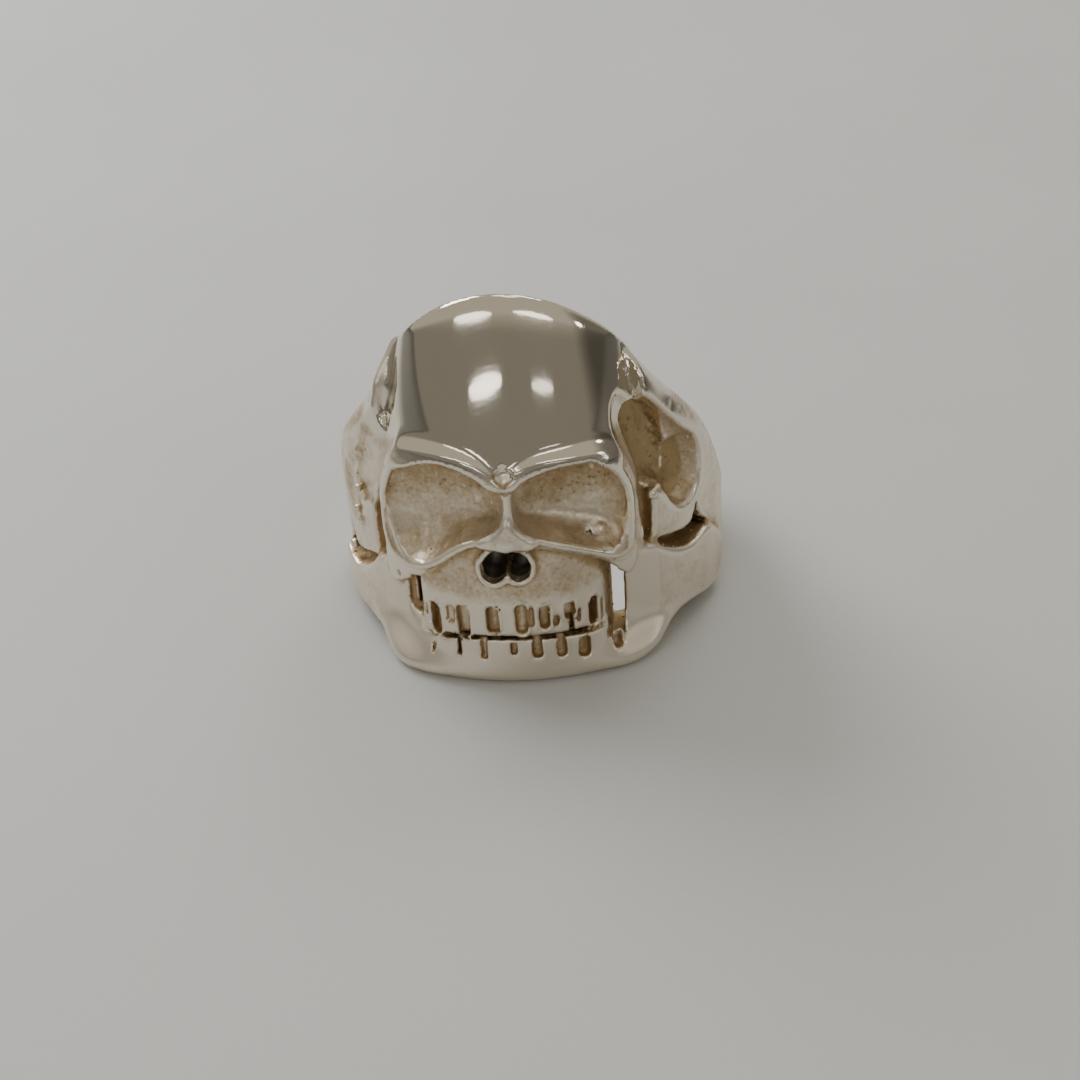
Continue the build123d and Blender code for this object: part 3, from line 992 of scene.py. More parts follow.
    def dome(self, x, y, z):
        """Smooth egg of the skull's top, which leans back from the brow."""
        s = self.s
        flat, steep = math.cos(s.dome_lean), math.sin(s.dome_lean)
        behind = y + s.dome_place
        above = z - s.dome_level
        across = behind * flat - above * steep
        along = behind * steep + above * flat
        return ellipsoid(x, across, along, s.dome_half_width, s.dome_depth, s.dome_rise)

    def nose_bar(self, metal, x, y, z, name):
        """Metal with one of the nose's round bars."""
        start, end, radius_start, radius_end, reach = NOSE_BARS[name]
        return smooth_min(metal, capsule(x, y, z, start, end, radius_start, radius_end), reach)

    def mark(self, metal, x, y, z):
        """Metal with the small lozenge over the nose cut into it."""
        s = self.s
        line = (np.abs(x - MARK_ASIDE) + np.abs(z - s.mark_level)) / math.sqrt(2) - s.mark_size
        line = np.where(y < FACE_FRONT, line, FAR_OUTSIDE)
        return smooth_max(metal, -smooth_max(line, -metal - s.mark_depth, BLEND.mark), BLEND.mark)

    def __call__(self, x, y, z):
        """Field at these places."""
        s = self.s
        ax = np.abs(x)
        r = np.hypot(x, y)
        around, up = self.unrolled(x, y, z)
        uneven = self.noise.layers(x, y, z, "metal")
        rough = self.noise.layers(x, y, z, "hollows")
        across = np.minimum(ax, BITE_DROP_END) / s.maxilla_half_width
        drop = (s.bite_drop + s.bite_sag * (x < 0)) * across**2

        wall = self.wall(x, y, z, ax, r)
        dome = self.dome(x, y, z)
        over_dome = dome - s.brow_proud - FACE_OVER_DOME * (1 - step(z, *FADE.brow))
        dome = smooth_max(dome, s.brow_level - s.brow_blend - z, BLEND.dome_foot)
        crease = BLEND.crease + s.left_fill * step(-x, *FADE.fill_aside) * step(z, *FADE.fill)
        metal = smooth_min(wall, dome, crease)
        metal = smooth_max(metal, -self.temple(x, around, up, r, rough), BLEND.temple)

        front = np.hypot(x, y + s.face_depth - s.face_round) - s.face_round
        front = smooth_max(front, over_dome, BLEND.front)
        face = smooth_max(self.line["face"](x, z), front, BLEND.face_edge)
        face = np.maximum(face, y * FACE_END)
        metal = smooth_min(metal, face + uneven * ROUGH.face, s.brow_blend)
        jaw = self.upper_jaw(x, y, z, ax, drop) + uneven * ROUGH.upper_jaw
        metal = smooth_min(metal, jaw, BLEND.upper_jaw)
        metal = self.nose_bar(metal, x, y, z, "ridge")

        for side, middle in SOCKET_MIDDLES.items():
            line = self.line[side](x, z)
            metal = smooth_max(metal, -self.socket(x, y, z, line, middle), BLEND.socket)
            rim = np.hypot(line - RIM_PLACE * s.rim_radius, front + RIM_SINK) - s.rim_radius
            metal = smooth_min(metal, np.where(y < FRONT_HALF, rim, OUTSIDE), BLEND.socket_rim)
        tip = smooth_max(self.line["tip"](x, z), front - s.nose_rise, BLEND.tip_edge)
        metal = smooth_min(metal, np.where(y < FACE_FRONT, tip, OUTSIDE), BLEND.tip)
        metal = self.nose_bar(metal, x, y, z, "tip")

        line = self.line["nose"](x, z)
        lip = np.hypot(line - s.nose_lip, front) - s.nose_lip
        metal = smooth_min(metal, np.where(y < FACE_FRONT, lip, OUTSIDE), BLEND.lip)
        metal = np.maximum(metal, -np.maximum(line + rough * ROUGH.nose, y - NOSE_BACK))
        line = self.line["slit"](around, up) - s.left_slit * (x < 0) + rough * ROUGH.slit
        metal = smooth_max(metal, -self.pocket(line, s.slit_depth, r, BLEND.slit_floor), BLEND.slit)

        jaw = self.lower_jaw(x, y, z, ax, r, around, up, drop) + uneven * ROUGH.lower_jaw
        metal = smooth_min(metal, jaw, BLEND.lower_jaw)
        line = self.line["gap"](around, up) + rough * ROUGH.gap
        metal = smooth_max(metal, -self.pocket(line, s.gap_depth, r, BLEND.gap_floor), BLEND.gap)
        metal = smooth_max(metal, -self.jaw_gap(x, y, z, ax), BLEND.jaw_gap)

        bite = np.where(y < FRONT_HALF, -self.bite(x, y, z, ax, drop), -OUTSIDE)
        metal = smooth_max(metal, bite, BLEND.bite)
        metal = self.teeth(metal, x, y, z, UPPER_SLOTS, s.maxilla_round, rough)
        metal = self.teeth(metal, x, y, z, LOWER_SLOTS, s.jaw_round, rough)
        metal = self.mark(metal, x, y, z)
        for *middle, radius in BEAD_ROWS:
            metal = smooth_min(metal, ball(x, y, z, middle, radius), BLEND.bead)
        for *middle, radius in DENT_ROWS:
            metal = smooth_max(metal, -ball(x, y, z, middle, radius), BLEND.dent)

        above = np.clip((z - s.band_height) / (s.crown_height - s.band_height), 0, 1)
        rounding = BLEND.bore + (s.rim_round - BLEND.bore) * step(z, *FADE.crown_rim)
        metal = smooth_max(metal, s.bore_radius + s.bore_draft * above - r, rounding)
        return np.maximum(metal, -z)


CORNERS = [(i, j, k) for i in (0, 1) for j in (0, 1) for k in (0, 1)]
FIELD_LOW = (-14.0, -16.6, -0.6)
FIELD_HIGH = (14.0, 13.0, 27.2)
BLOCK = 4
CHUNK = 400000

# How near a block's corner has to be to the surface, as a share of the block and in millimetres on top.
NEAR_SHARE = 1.15
NEAR_MARGIN = 0.25

# Settling of the vertices: longest step as a share of a cell, and least squared slope that is trusted.
SETTLE_STEP = 0.35
SETTLE_SLOPE = 0.15

# Reach in millimetres over which a place is felt to lie in a hollow, and the weight of each reach.
HOLLOW_ROWS = (
    # reach, weight
    (0.35, 0.2),
    (0.8, 0.3),
    (1.5, 0.3),
    (2.6, 0.2),
)
EDGE_REACH = 0.3
EDGE_STRENGTH = 0.25

# Ranges over which the finish changes, in millimetres, or as a share where they read a mask.
FINISH = SimpleNamespace(
    open_ground=(0.25, 0.5),
    dome_level=(-1.2, 0.6),
    dome_front=(6.0, 9.0),
    dome_low=(17.5, 18.5),
    dome_reach=0.15,
    dome_fade=0.3,
    bore=(0.3, 0.8),
    nose=(0.1, 0.3),
    nose_depth=(-0.7, -0.3),
    temple=(-0.4, 0.4),
    temple_depth=(0.5, 1.6),
    eye=(-0.7, 0.0),
    eye_depth=(-0.45, -0.1),
    eye_level=(11.0, 16.5),
    shoulder_aside=(2.0, 5.0),
    shoulder_level=(8.0, 10.0),
    bright_aside=(5.0, 7.0),
    bright_level=(11.0, 13.0),
    bright_edge=(-0.2, 0.3),
    bright_hollow=(0.6, 0.9),
    beside_aside=(5.0, 6.0),
    beside_level=(16.6, 17.8),
    bone_level=(5.4, 7.4),
    bone_depth=(0.02, 0.15),
)
BONE_TOP = 10.9
BONE_FRONT = -8

# Strength of each area's own share in the polish, the tarnish, and the darkening of the sockets' tops and of
# the nose passage.
SHARES = SimpleNamespace(
    shoulder=0.3,
    bore=0.6,
    beside=0.8,
    temple=0.6,
    eye_kept=0.25,
    eye=0.25,
    # How much darker a socket gets towards its top.
    eye_top=0.26,
    bone=0.35,
    passage=1.3,
)


def evaluate(field, points):
    """Field at many points, a chunk at a time."""
    return np.concatenate([field(*points[i : i + CHUNK].T) for i in range(0, len(points), CHUNK)])


def sample(field, cell):
    """Field on a regular grid, worked out finely only in the blocks that the surface passes."""
    low = np.array(FIELD_LOW)
    block = cell * BLOCK
    count = np.ceil((np.array(FIELD_HIGH) - low) / block).astype(int)
    axes = [low[i] + block * np.arange(count[i] + 1) for i in range(3)]
    coarse = evaluate(field, np.stack(np.meshgrid(*axes, indexing="ij"), -1).reshape(-1, 3))
    coarse = coarse.reshape(count + 1).astype(np.float32)
    corners = [coarse[i:, j:, k:][: count[0], : count[1], : count[2]] for i, j, k in CORNERS]
    nearest = np.min(np.abs(corners), 0)
    shape = count * BLOCK + 1

    def spread(values):
        """Block values repeated for each of the block's cells."""
        for axis in range(3):
            values = np.repeat(values, BLOCK, axis)
        return values

    values = spread(coarse)[: shape[0], : shape[1], : shape[2]].copy()
    passed = spread(nearest < block * NEAR_SHARE + NEAR_MARGIN)
    wanted = np.zeros(shape, bool)
    for i, j, k in CORNERS:
        wanted[i : shape[0] - 1 + i, j : shape[1] - 1 + j, k : shape[2] - 1 + k] |= passed
    where = np.nonzero(wanted)
    values[where] = evaluate(field, low + cell * np.stack(where, 1))
    return values


def surface_net(values, cell):
    """Closed mesh of quads on the grid's zero level, one vertex in each cell that the surface crosses."""
    inside = values < 0
    n = values.shape
    parts = (inside[i : n[0] - 1 + i, j : n[1] - 1 + j, k : n[2] - 1 + k] for i, j, k in CORNERS)
    count = sum(part.astype(np.int8) for part in parts)
    cells = np.stack(np.nonzero((count > 0) & (count < len(CORNERS))), 1)
    number = np.full(count.shape, -1, np.int32)
    number[tuple(cells.T)] = np.arange(len(cells))
    place = np.zeros(cells.shape)
    hits = np.zeros(len(cells))
    for corner in CORNERS:
        for axis in range(3):
            if corner[axis]:
                continue
            start = cells + corner
            end = start.copy()
            end[:, axis] += 1
            a, b = values[tuple(start.T)], values[tuple(end.T)]
            crossed = (a < 0) != (b < 0)
            point = np.tile(np.array(corner, float), (len(cells), 1))
            point[:, axis] = a / np.where(crossed, a - b, 1)
            place += point * crossed[:, None]
            hits += crossed
    vertices = np.array(FIELD_LOW) + cell * (cells + place / hits[:, None])
    quads = []
    for axis in range(3):
        first, second = [i for i in range(3) if i != axis]
        here = np.take(inside, range(n[axis] - 1), axis)
        changed = np.stack(np.nonzero(here != np.take(inside, range(1, n[axis]), axis)), 1)
        flipped = here[tuple(changed.T)] != (axis == 1)
        ring = []
        for a, b in ((-1, -1), (0, -1), (0, 0), (-1, 0)):
            around = changed.copy()
            around[:, first] += a
            around[:, second] += b
            ring.append(number[tuple(around.T)])
        quad = np.stack(ring, 1)
        quad[~flipped] = quad[~flipped][:, ::-1]
        quads.append(quad)
    return vertices, np.concatenate(quads)


def gradient(field, points, width=0.02):
    """Slope of the field at many points."""
    slope = np.empty_like(points)
    for axis in range(3):
        shift = np.zeros(3)
        shift[axis] = width
        slope[:, axis] = (evaluate(field, points + shift) - evaluate(field, points - shift)) / (2 * width)
    return slope


def settle(field, points, cell):
    """Points moved onto the field's surface by two short steps."""
    for _ in range(2):
        slope = gradient(field, points)
        square = np.maximum((slope * slope).sum(1), SETTLE_SLOPE)
        move = -(evaluate(field, points) / square)[:, None] * slope
        size = np.maximum(np.linalg.norm(move, axis=1), 1e-9)
        points = points + move * np.minimum(1, SETTLE_STEP * cell / size)[:, None]
    return points


def within(value, low, high):
    """Soft step from 1 to 0 between two values."""
    return 1 - step(value, low, high)


def hollow_mask(field, points):
    """How much each point lies in a hollow, read from the field above it."""
    slope = gradient(field, points)
    normal = slope / np.maximum(np.linalg.norm(slope, axis=1), 1e-9)[:, None]
    hollow = 0
    for reach, weight in HOLLOW_ROWS:
        hollow = hollow + weight * np.clip(1 - evaluate(field, points + normal * reach) / reach, 0, 1)
    return hollow


def edge_mask(field, points):
    """How much each point lies on an outer edge, read from the field all round it."""
    bend = -6 * evaluate(field, points)
    for axis in range(3):
        for way in (-EDGE_REACH, EDGE_REACH):
            shift = np.zeros(3)
            shift[axis] = way
            bend = bend + evaluate(field, points + shift)
    return np.clip(0.5 + bend / EDGE_REACH**2 * EDGE_STRENGTH, 0, 1)


def masks(field, points):
    """Hollow, edge and polish of each point, from 0 to 1, by the ring's areas."""
    s = field.s
    x, y, z = points.T
    around, up = field.unrolled(x, y, z)
    front = np.hypot(x, y + s.face_depth - s.face_round) - s.face_round
    hollow = hollow_mask(field, points)

    inner = within(np.hypot(x, y) - s.bore_radius, *FINISH.bore)
    passage = within(field.line["nose"](x, z), *FINISH.nose) * within(front, *FINISH.nose_depth)
    passage = passage * (y < NOSE_BACK)
    line = np.minimum(field.line["recess"](around, up), field.line["rear"](around, up))
    temple = within(line, *FINISH.temple) * (x > 0)
    temple = temple * step(s.shoulder_radius - np.hypot(x, y), *FINISH.temple_depth)
    line = np.minimum(field.line["left"](x, z), field.line["right"](x, z))
    eye = within(line, *FINISH.eye) * (y < FRONT_HALF) * within(front, *FINISH.eye_depth)
    reach = FINISH.dome_reach + step(-y, *FINISH.dome_front) * within(z, *FINISH.dome_low)
    dome = step(z - s.brow_level, *FINISH.dome_level) * (1 - eye)
    dome = dome * within(np.abs(field.dome(x, y, z)) - reach, 0, FINISH.dome_fade)
    beside = step(z, *FINISH.beside_level) * step(np.abs(x), *FINISH.beside_aside) * (1 - temple)
    beside = np.maximum(beside, dome)
    bone = step(z, *FINISH.bone_level) * (z < BONE_TOP) * (y < BONE_FRONT)
    bone = bone * within(field.arc(x, y, s.maxilla_round)[1], *FINISH.bone_depth)

    shoulder = step(x, *FINISH.shoulder_aside) * step(z, *FINISH.shoulder_level)
    shoulder = SHARES.shoulder * shoulder * within(hollow, *FINISH.open_ground)
    bright = step(x, *FINISH.bright_aside) * step(z, *FINISH.bright_level)
    bright = bright * step(field.line["temple"](around, up), *FINISH.bright_edge)
    bright = bright * within(hollow, *FINISH.bright_hollow)
    polish = np.maximum(np.maximum(dome, shoulder), np.maximum(bright, SHARES.bore * inner))

    hollow = np.maximum(hollow * (1 - SHARES.beside * beside), SHARES.temple * temple)
    # The sockets get an even tan tarnish, and their colour gets darker towards their top.
    socket_darkening = SHARES.eye + SHARES.eye_top * step(z, *FINISH.eye_level)
    hollow = hollow * (1 - (1 - SHARES.eye_kept) * eye) + socket_darkening * eye
    hollow = np.maximum(hollow, SHARES.bone * bone)
    # The nose passage's walls are made nearly black, past the level at which the darkest colour is full.
    hollow = np.maximum(hollow * (1 - inner), SHARES.passage * passage)
    return {"hollow": hollow, "edge": edge_mask(field, points), "polish": polish}


def mesh_object(name, vertices, faces, attributes):
    """Smooth mesh object at the origin, its vertices given in millimetres."""
    mesh = bpy.data.meshes.new(name)
    mesh.from_pydata((vertices * MM).tolist(), [], faces.tolist())
    mesh.validate()
    mesh.polygons.foreach_set("use_smooth", np.ones(len(mesh.polygons), bool))
    for key, values in attributes.items():
        mesh.attributes.new(key, "FLOAT", "POINT").data.foreach_set("value", values.astype(np.float32))
    mesh.update()
    thing = bpy.data.objects.new(name, mesh)
    bpy.context.scene.collection.objects.link(thing)
    return thing


# Levels at which tarnish and soot set in, and how much each noise adds to the hollow's own level.
TARNISH = SimpleNamespace(
    blotch_share=0.35,
    speck_share=0.25,
    worn_share=-0.35,
    worn=(0.6, 0.95),
    dull=(0.45, 0.85),
    spots=(0.6, 0.72),
    spots_hollow=(0.25, 0.5),
    spots_share=0.55,
    soot=(1.12, 1.35),
)

# Directions of the two sets of scratches: turn about each axis in radians, and squeeze along each axis.
SCRATCH_ROWS = (
    # turn, squeeze
    ((0.3, 0.2, 0.5), (1, 14, 5)),
    ((0.1, 0.9, -0.7), (12, 1, 6)),
)

# How the grain, the scratches and the tarnish change the silver's relief and its roughness.
RELIEF = SimpleNamespace(
    fine_scale=2.7,
    fine_share=0.4,
    dull_share=2.0,
    scratch_share=0.015,
    scratch_rough=0.04,
    speck_rough=0.3,
    strength=0.35,
    height=0.00003,
)

# The table's unevenness: scales of its two noises, the shares and ranges that they give, and the skew of its
# painted shade towards the front.
TABLE = SimpleNamespace(
    cloud_scale=22.0,
    fibre_scale=1900.0,
    fibre_share=0.25,
    darker=0.93,
    level=(0.35, 0.95),
    painted_shade_skew=-0.35,
    rough=(0.5, 0.7),
    strength=0.1,
    height=0.00005,
)


def add_node(tree, kind, inputs=None, **properties):
    """Node with its properties set and its inputs linked or given values."""
    node = tree.nodes.new(kind)
    for key, value in properties.items():
        setattr(node, key, value)
    for key, value in (inputs or {}).items():
        if isinstance(value, bpy.types.NodeSocket):
            tree.links.new(value, node.inputs[key])
        else:
            node.inputs[key].default_value = value
    return node


def new_group(name, kind, inputs, outputs):
    """Empty node group with named sockets, and the node of its inputs and the node of its outputs."""
    tree = bpy.data.node_groups.new(name, kind)
    for label, socket, value in inputs:
        item = tree.interface.new_socket(label, in_out="INPUT", socket_type=socket)
        if value is not None:
            item.default_value = value
    for label, socket in outputs:
        tree.interface.new_socket(label, in_out="OUTPUT", socket_type=socket)
    return tree, tree.nodes.new("NodeGroupInput").outputs, tree.nodes.new("NodeGroupOutput").inputs


def math_of(tree, operation, first, second, third=0.0):
    """Output of a math node."""
    return add_node(tree, "ShaderNodeMath", {0: first, 1: second, 2: third}, operation=operation).outputs[0]


def ramp(tree, value, low, high, start=0.0, end=1.0):
    """Output of a soft step of a value between two levels."""
    inputs = {"Value": value, "From Min": low, "From Max": high, "To Min": start, "To Max": end}
    return add_node(tree, "ShaderNodeMapRange", inputs, interpolation_type="SMOOTHSTEP").outputs[0]


def blend(tree, share_of, first, second):
    """Output of a mix of two numbers."""
    return add_node(tree, "ShaderNodeMix", {0: share_of, 2: first, 3: second}, data_type="FLOAT").outputs[0]


def blend_colour(tree, share_of, first, second):
    """Output of a mix of two colours."""
    inputs = {0: share_of, 6: first, 7: second}
    return add_node(tree, "ShaderNodeMix", inputs, data_type="RGBA").outputs[2]


def noise_of(tree, vector, scale, detail=3.0, seed=0.0):
    """Output of a noise texture, about 0.5 on average."""
    inputs = {"Vector": vector, "W": seed, "Scale": scale, "Detail": detail}
    return add_node(tree, "ShaderNodeTexNoise", inputs, noise_dimensions="4D").outputs[0]


def object_place(tree):
    """Output of the place on the object, in its own coordinates."""
    return add_node(tree, "ShaderNodeTexCoord").outputs["Object"]


def bump(tree, strength, distance, height):
    """Normal of a surface with that relief."""
    inputs = {"Strength": strength, "Distance": distance, "Height": height}
    return add_node(tree, "ShaderNodeBump", inputs).outputs[0]


def tarnish_group():
    """Shader group that says where the silver is tarnished, from its hollows and edges."""
    tree, given, out = new_group(
        "Silver tarnish",
        "ShaderNodeTree",
        [
            ("Hollow", "NodeSocketFloat", 0.0),
            ("Edge", "NodeSocketFloat", 0.5),
            ("Blotch Scale", "NodeSocketFloat", 700.0),
            ("Speck Scale", "NodeSocketFloat", 3600.0),
        ],
        [("Tarnish", "NodeSocketFloat"), ("Soot", "NodeSocketFloat"), ("Speck", "NodeSocketFloat")],
    )
    place = object_place(tree)
    blotch = noise_of(tree, place, given["Blotch Scale"], detail=4.0)
    speck = noise_of(tree, place, given["Speck Scale"], seed=2.0)
    level = math_of(tree, "MULTIPLY_ADD", blotch, TARNISH.blotch_share, given["Hollow"])
    level = math_of(tree, "MULTIPLY_ADD", speck, TARNISH.speck_share, level)
    level = math_of(tree, "MULTIPLY_ADD", ramp(tree, given["Edge"], *TARNISH.worn), TARNISH.worn_share, level)
    tree.links.new(ramp(tree, level, *TARNISH.dull), out["Tarnish"])
    spots = ramp(tree, given["Hollow"], *TARNISH.spots_hollow)
    spots = math_of(tree, "MULTIPLY", ramp(tree, speck, *TARNISH.spots), spots)
    spots = math_of(tree, "MULTIPLY", spots, TARNISH.spots_share)
    tree.links.new(math_of(tree, "MAXIMUM", ramp(tree, level, *TARNISH.soot), spots), out["Soot"])
    tree.links.new(speck, out["Speck"])
    return tree


def scratch_group():
    """Shader group of fine scratches that run along the surface in two directions."""
    tree, given, out = new_group(
        "Fine scratches",
        "ShaderNodeTree",
        [("Scale", "NodeSocketFloat", 260.0), ("Width", "NodeSocketFloat", 0.003)],
        [("Mask", "NodeSocketFloat"), ("Height", "NodeSocketFloat")],
    )
    place = object_place(tree)
    found = []
    for seed, (turned, squeeze) in enumerate(SCRATCH_ROWS):
        inputs = {"Vector": place, "Rotation": turned, "Scale": squeeze}
        along = add_node(tree, "ShaderNodeMapping", inputs).outputs[0]
        line = noise_of(tree, along, given["Scale"], detail=1.0, seed=seed)
        line = math_of(tree, "SUBTRACT", line, 0.5)
        line = math_of(tree, "ABSOLUTE", line, 0.0)
        found.append(math_of(tree, "DIVIDE", line, given["Width"]))
    mask = ramp(tree, math_of(tree, "MINIMUM", *found), 0.0, 1.0, 1.0, 0.0)
    tree.links.new(mask, out["Mask"])
    tree.links.new(math_of(tree, "MULTIPLY", mask, -1.0), out["Height"])
    return tree


def grain_group():
    """Shader group of a cast surface's grain."""
    tree, given, out = new_group(
        "Cast grain",
        "ShaderNodeTree",
        [("Scale", "NodeSocketFloat", 5200.0)],
        [("Height", "NodeSocketFloat")],
    )
    place = object_place(tree)
    coarse = noise_of(tree, place, given["Scale"])
    scale = math_of(tree, "MULTIPLY", given["Scale"], RELIEF.fine_scale)
    fine = noise_of(tree, place, scale, detail=2.0, seed=5.0)
    tree.links.new(math_of(tree, "MULTIPLY_ADD", fine, RELIEF.fine_share, coarse), out["Height"])
    return tree


def opaque(value):
    """Colour setting as red, green, blue and alpha."""
    return (*value, 1.0)


def new_material(name):
    """Empty material, its node tree and the socket of its surface."""
    material = bpy.data.materials.new(name)
    material.use_nodes = True
    tree = material.node_tree
    tree.nodes.clear()
    return material, tree, tree.nodes.new("ShaderNodeOutputMaterial").inputs["Surface"]


def attribute(tree, name):
    """Output of a vertex attribute."""
    node = add_node(tree, "ShaderNodeAttribute", attribute_name=name, attribute_type="GEOMETRY")
    return node.outputs["Fac"]


def silver_material(finish):
    """Silver, polished on the dome, satin elsewhere and tarnished in the hollows."""
    material, tree, surface = new_material("Cast silver")
    hollow, edge, polish = (attribute(tree, name) for name in ("hollow", "edge", "polish"))
    tarnish = add_node(tree, "ShaderNodeGroup", node_tree=tarnish_group())
    tree.links.new(hollow, tarnish.inputs["Hollow"])
    tree.links.new(edge, tarnish.inputs["Edge"])
    scratches = add_node(tree, "ShaderNodeGroup", node_tree=scratch_group()).outputs
    grain = add_node(tree, "ShaderNodeGroup", node_tree=grain_group()).outputs["Height"]
    dull, soot, speck = (tarnish.outputs[name] for name in ("Tarnish", "Soot", "Speck"))

    colour = blend_colour(tree, polish, opaque(finish.satin), opaque(finish.silver))
    colour = blend_colour(tree, dull, colour, opaque(finish.tarnish))
    colour = blend_colour(tree, soot, colour, opaque(finish.soot))

    rough = blend(tree, polish, finish.satin_roughness, finish.polish)
    rough = math_of(tree, "MULTIPLY_ADD", scratches["Mask"], RELIEF.scratch_rough, rough)
    least = finish.tarnish_roughness - RELIEF.speck_rough / 2
    dull_rough = math_of(tree, "MULTIPLY_ADD", speck, RELIEF.speck_rough, least)
    rough = blend(tree, dull, rough, dull_rough)

    satin = math_of(tree, "SUBTRACT", 1.0, polish)
    satin = math_of(tree, "MULTIPLY_ADD", dull, RELIEF.dull_share, satin)
    height = math_of(tree, "MULTIPLY", grain, satin)
    height = math_of(tree, "MULTIPLY_ADD", scratches["Height"], RELIEF.scratch_share, height)
    normal = bump(tree, RELIEF.strength, RELIEF.height, height)
    inputs = {"Base Color": colour, "Roughness": rough, "Metallic": 1.0, "Normal": normal}
    shader = add_node(tree, "ShaderNodeBsdfPrincipled", inputs)
    tree.links.new(shader.outputs[0], surface)
    return material


def table_material(stage):
    """Pale table with a faint unevenness of colour and shine, and painted shade far to both sides and towards
    the front, round a painted pool of light.
    """
    material, tree, surface = new_material("Pale table")
    place = object_place(tree)
    cloud = noise_of(tree, place, TABLE.cloud_scale, detail=5.0)
    fibre = noise_of(tree, place, TABLE.fibre_scale, detail=2.0)
    level = math_of(tree, "MULTIPLY_ADD", fibre, TABLE.fibre_share, cloud)
    darker = tuple(TABLE.darker * value for value in stage.table)
    colour = blend_colour(tree, ramp(tree, level, *TABLE.level), opaque(darker), opaque(stage.table))
    # Painted shade: the table darkens far to the sides and towards the front, which leaves a painted pool of
    # light round the ring.
    axes = add_node(tree, "ShaderNodeSeparateXYZ", {0: place}).outputs
    aside = math_of(tree, "ABSOLUTE", axes["X"], 0.0)
    aside = math_of(tree, "MULTIPLY_ADD", axes["Y"], TABLE.painted_shade_skew, aside)
    aside = ramp(tree, aside, stage.painted_pool_width, stage.painted_shade_width)
    dim = tuple(stage.painted_table_shade * value for value in stage.table)
    colour = blend_colour(tree, aside, colour, opaque(dim))
    rough = blend(tree, cloud, *TABLE.rough)
    normal = bump(tree, TABLE.strength, TABLE.height, fibre)
    inputs = {"Base Color": colour, "Roughness": rough, "Normal": normal}
    shader = add_node(tree, "ShaderNodeBsdfPrincipled", inputs)
    tree.links.new(shader.outputs[0], surface)
    return material


# Cast surface: the hollows that have pits and those that have beads, by their mask, how a pit widens from its
# middle as a share of the spacing, the grain's scale, and the beads' smallest and largest size.
CAST = SimpleNamespace(
    pitted=(0.18, 0.45),
    beaded=(0.3, 0.55),
    pit=(0.15, 0.6),
    grain_scale=900.0,
    bead_size=(0.5, 1.15),
    bead_steps=2,
)


def cast_surface_tree():
    """Geometry tree that gives a mesh the grain, the pits and the little beads of a cast surface."""
    tree, given, out = new_group(
        "Cast surface",
        "GeometryNodeTree",
        [
            ("Geometry", "NodeSocketGeometry", None),
            ("Pit Depth", "NodeSocketFloat", 0.00007),
            ("Pit Spacing", "NodeSocketFloat", 0.00055),
            ("Grain Depth", "NodeSocketFloat", 0.000012),
            ("Bead Radius", "NodeSocketFloat", 0.00011),
            ("Bead Density", "NodeSocketFloat", 450000.0),
            ("Seed", "NodeSocketInt", 7),
            ("Material", "NodeSocketMaterial", None),
        ],
        [("Geometry", "NodeSocketGeometry")],
    )
    hollow, polish = (
        add_node(tree, "GeometryNodeInputNamedAttribute", {"Name": name}, data_type="FLOAT").outputs[0]
        for name in ("hollow", "polish")
    )
    place = add_node(tree, "GeometryNodeInputPosition").outputs[0]
    scale = math_of(tree, "DIVIDE", 1.0, given["Pit Spacing"])
    inputs = {"Vector": place, "W": given["Seed"], "Scale": scale}
    cells = add_node(tree, "ShaderNodeTexVoronoi", inputs, voronoi_dimensions="4D").outputs["Distance"]
    pits = math_of(tree, "MULTIPLY", ramp(tree, cells, *CAST.pit, 1.0, 0.0), ramp(tree, hollow, *CAST.pitted))
    pits = math_of(tree, "MULTIPLY", pits, given["Pit Depth"])
    satin = math_of(tree, "SUBTRACT", 1.0, polish)
    grain = noise_of(tree, place, CAST.grain_scale, seed=given["Seed"])
    grain = math_of(tree, "SUBTRACT", grain, 0.5)
    grain = math_of(tree, "MULTIPLY", math_of(tree, "MULTIPLY", grain, satin), given["Grain Depth"])
    move = math_of(tree, "SUBTRACT", grain, pits)
    normal = add_node(tree, "GeometryNodeInputNormal").outputs[0]
    offset = add_node(tree, "ShaderNodeVectorMath", {0: normal, "Scale": move}, operation="SCALE").outputs[0]
    inputs = {"Geometry": given["Geometry"], "Offset": offset}
    moved = add_node(tree, "GeometryNodeSetPosition", inputs).outputs[0]

    density = math_of(tree, "MULTIPLY", ramp(tree, hollow, *CAST.beaded), given["Bead Density"])
    inputs = {"Mesh": moved, "Density": density, "Seed": given["Seed"]}
    points = add_node(tree, "GeometryNodeDistributePointsOnFaces", inputs).outputs["Points"]
    inputs = {"Radius": given["Bead Radius"], "Subdivisions": CAST.bead_steps}
    bead = add_node(tree, "GeometryNodeMeshIcoSphere", inputs).outputs["Mesh"]
    least, most = CAST.bead_size
    inputs = {2: least, 3: most, "Seed": given["Seed"]}
    size = add_node(tree, "FunctionNodeRandomValue", inputs, data_type="FLOAT").outputs[1]
    inputs = {"Points": points, "Instance": bead, "Scale": size}
    beads = add_node(tree, "GeometryNodeInstanceOnPoints", inputs).outputs[0]
    beads = add_node(tree, "GeometryNodeRealizeInstances", {"Geometry": beads}).outputs[0]
    joined = add_node(tree, "GeometryNodeJoinGeometry")
    tree.links.new(moved, joined.inputs[0])
    tree.links.new(beads, joined.inputs[0])
    smooth = add_node(tree, "GeometryNodeSetShadeSmooth", {"Geometry": joined.outputs[0]}).outputs[0]
    inputs = {"Geometry": smooth, "Material": given["Material"]}
    tree.links.new(add_node(tree, "GeometryNodeSetMaterial", inputs).outputs[0], out["Geometry"])
    return tree


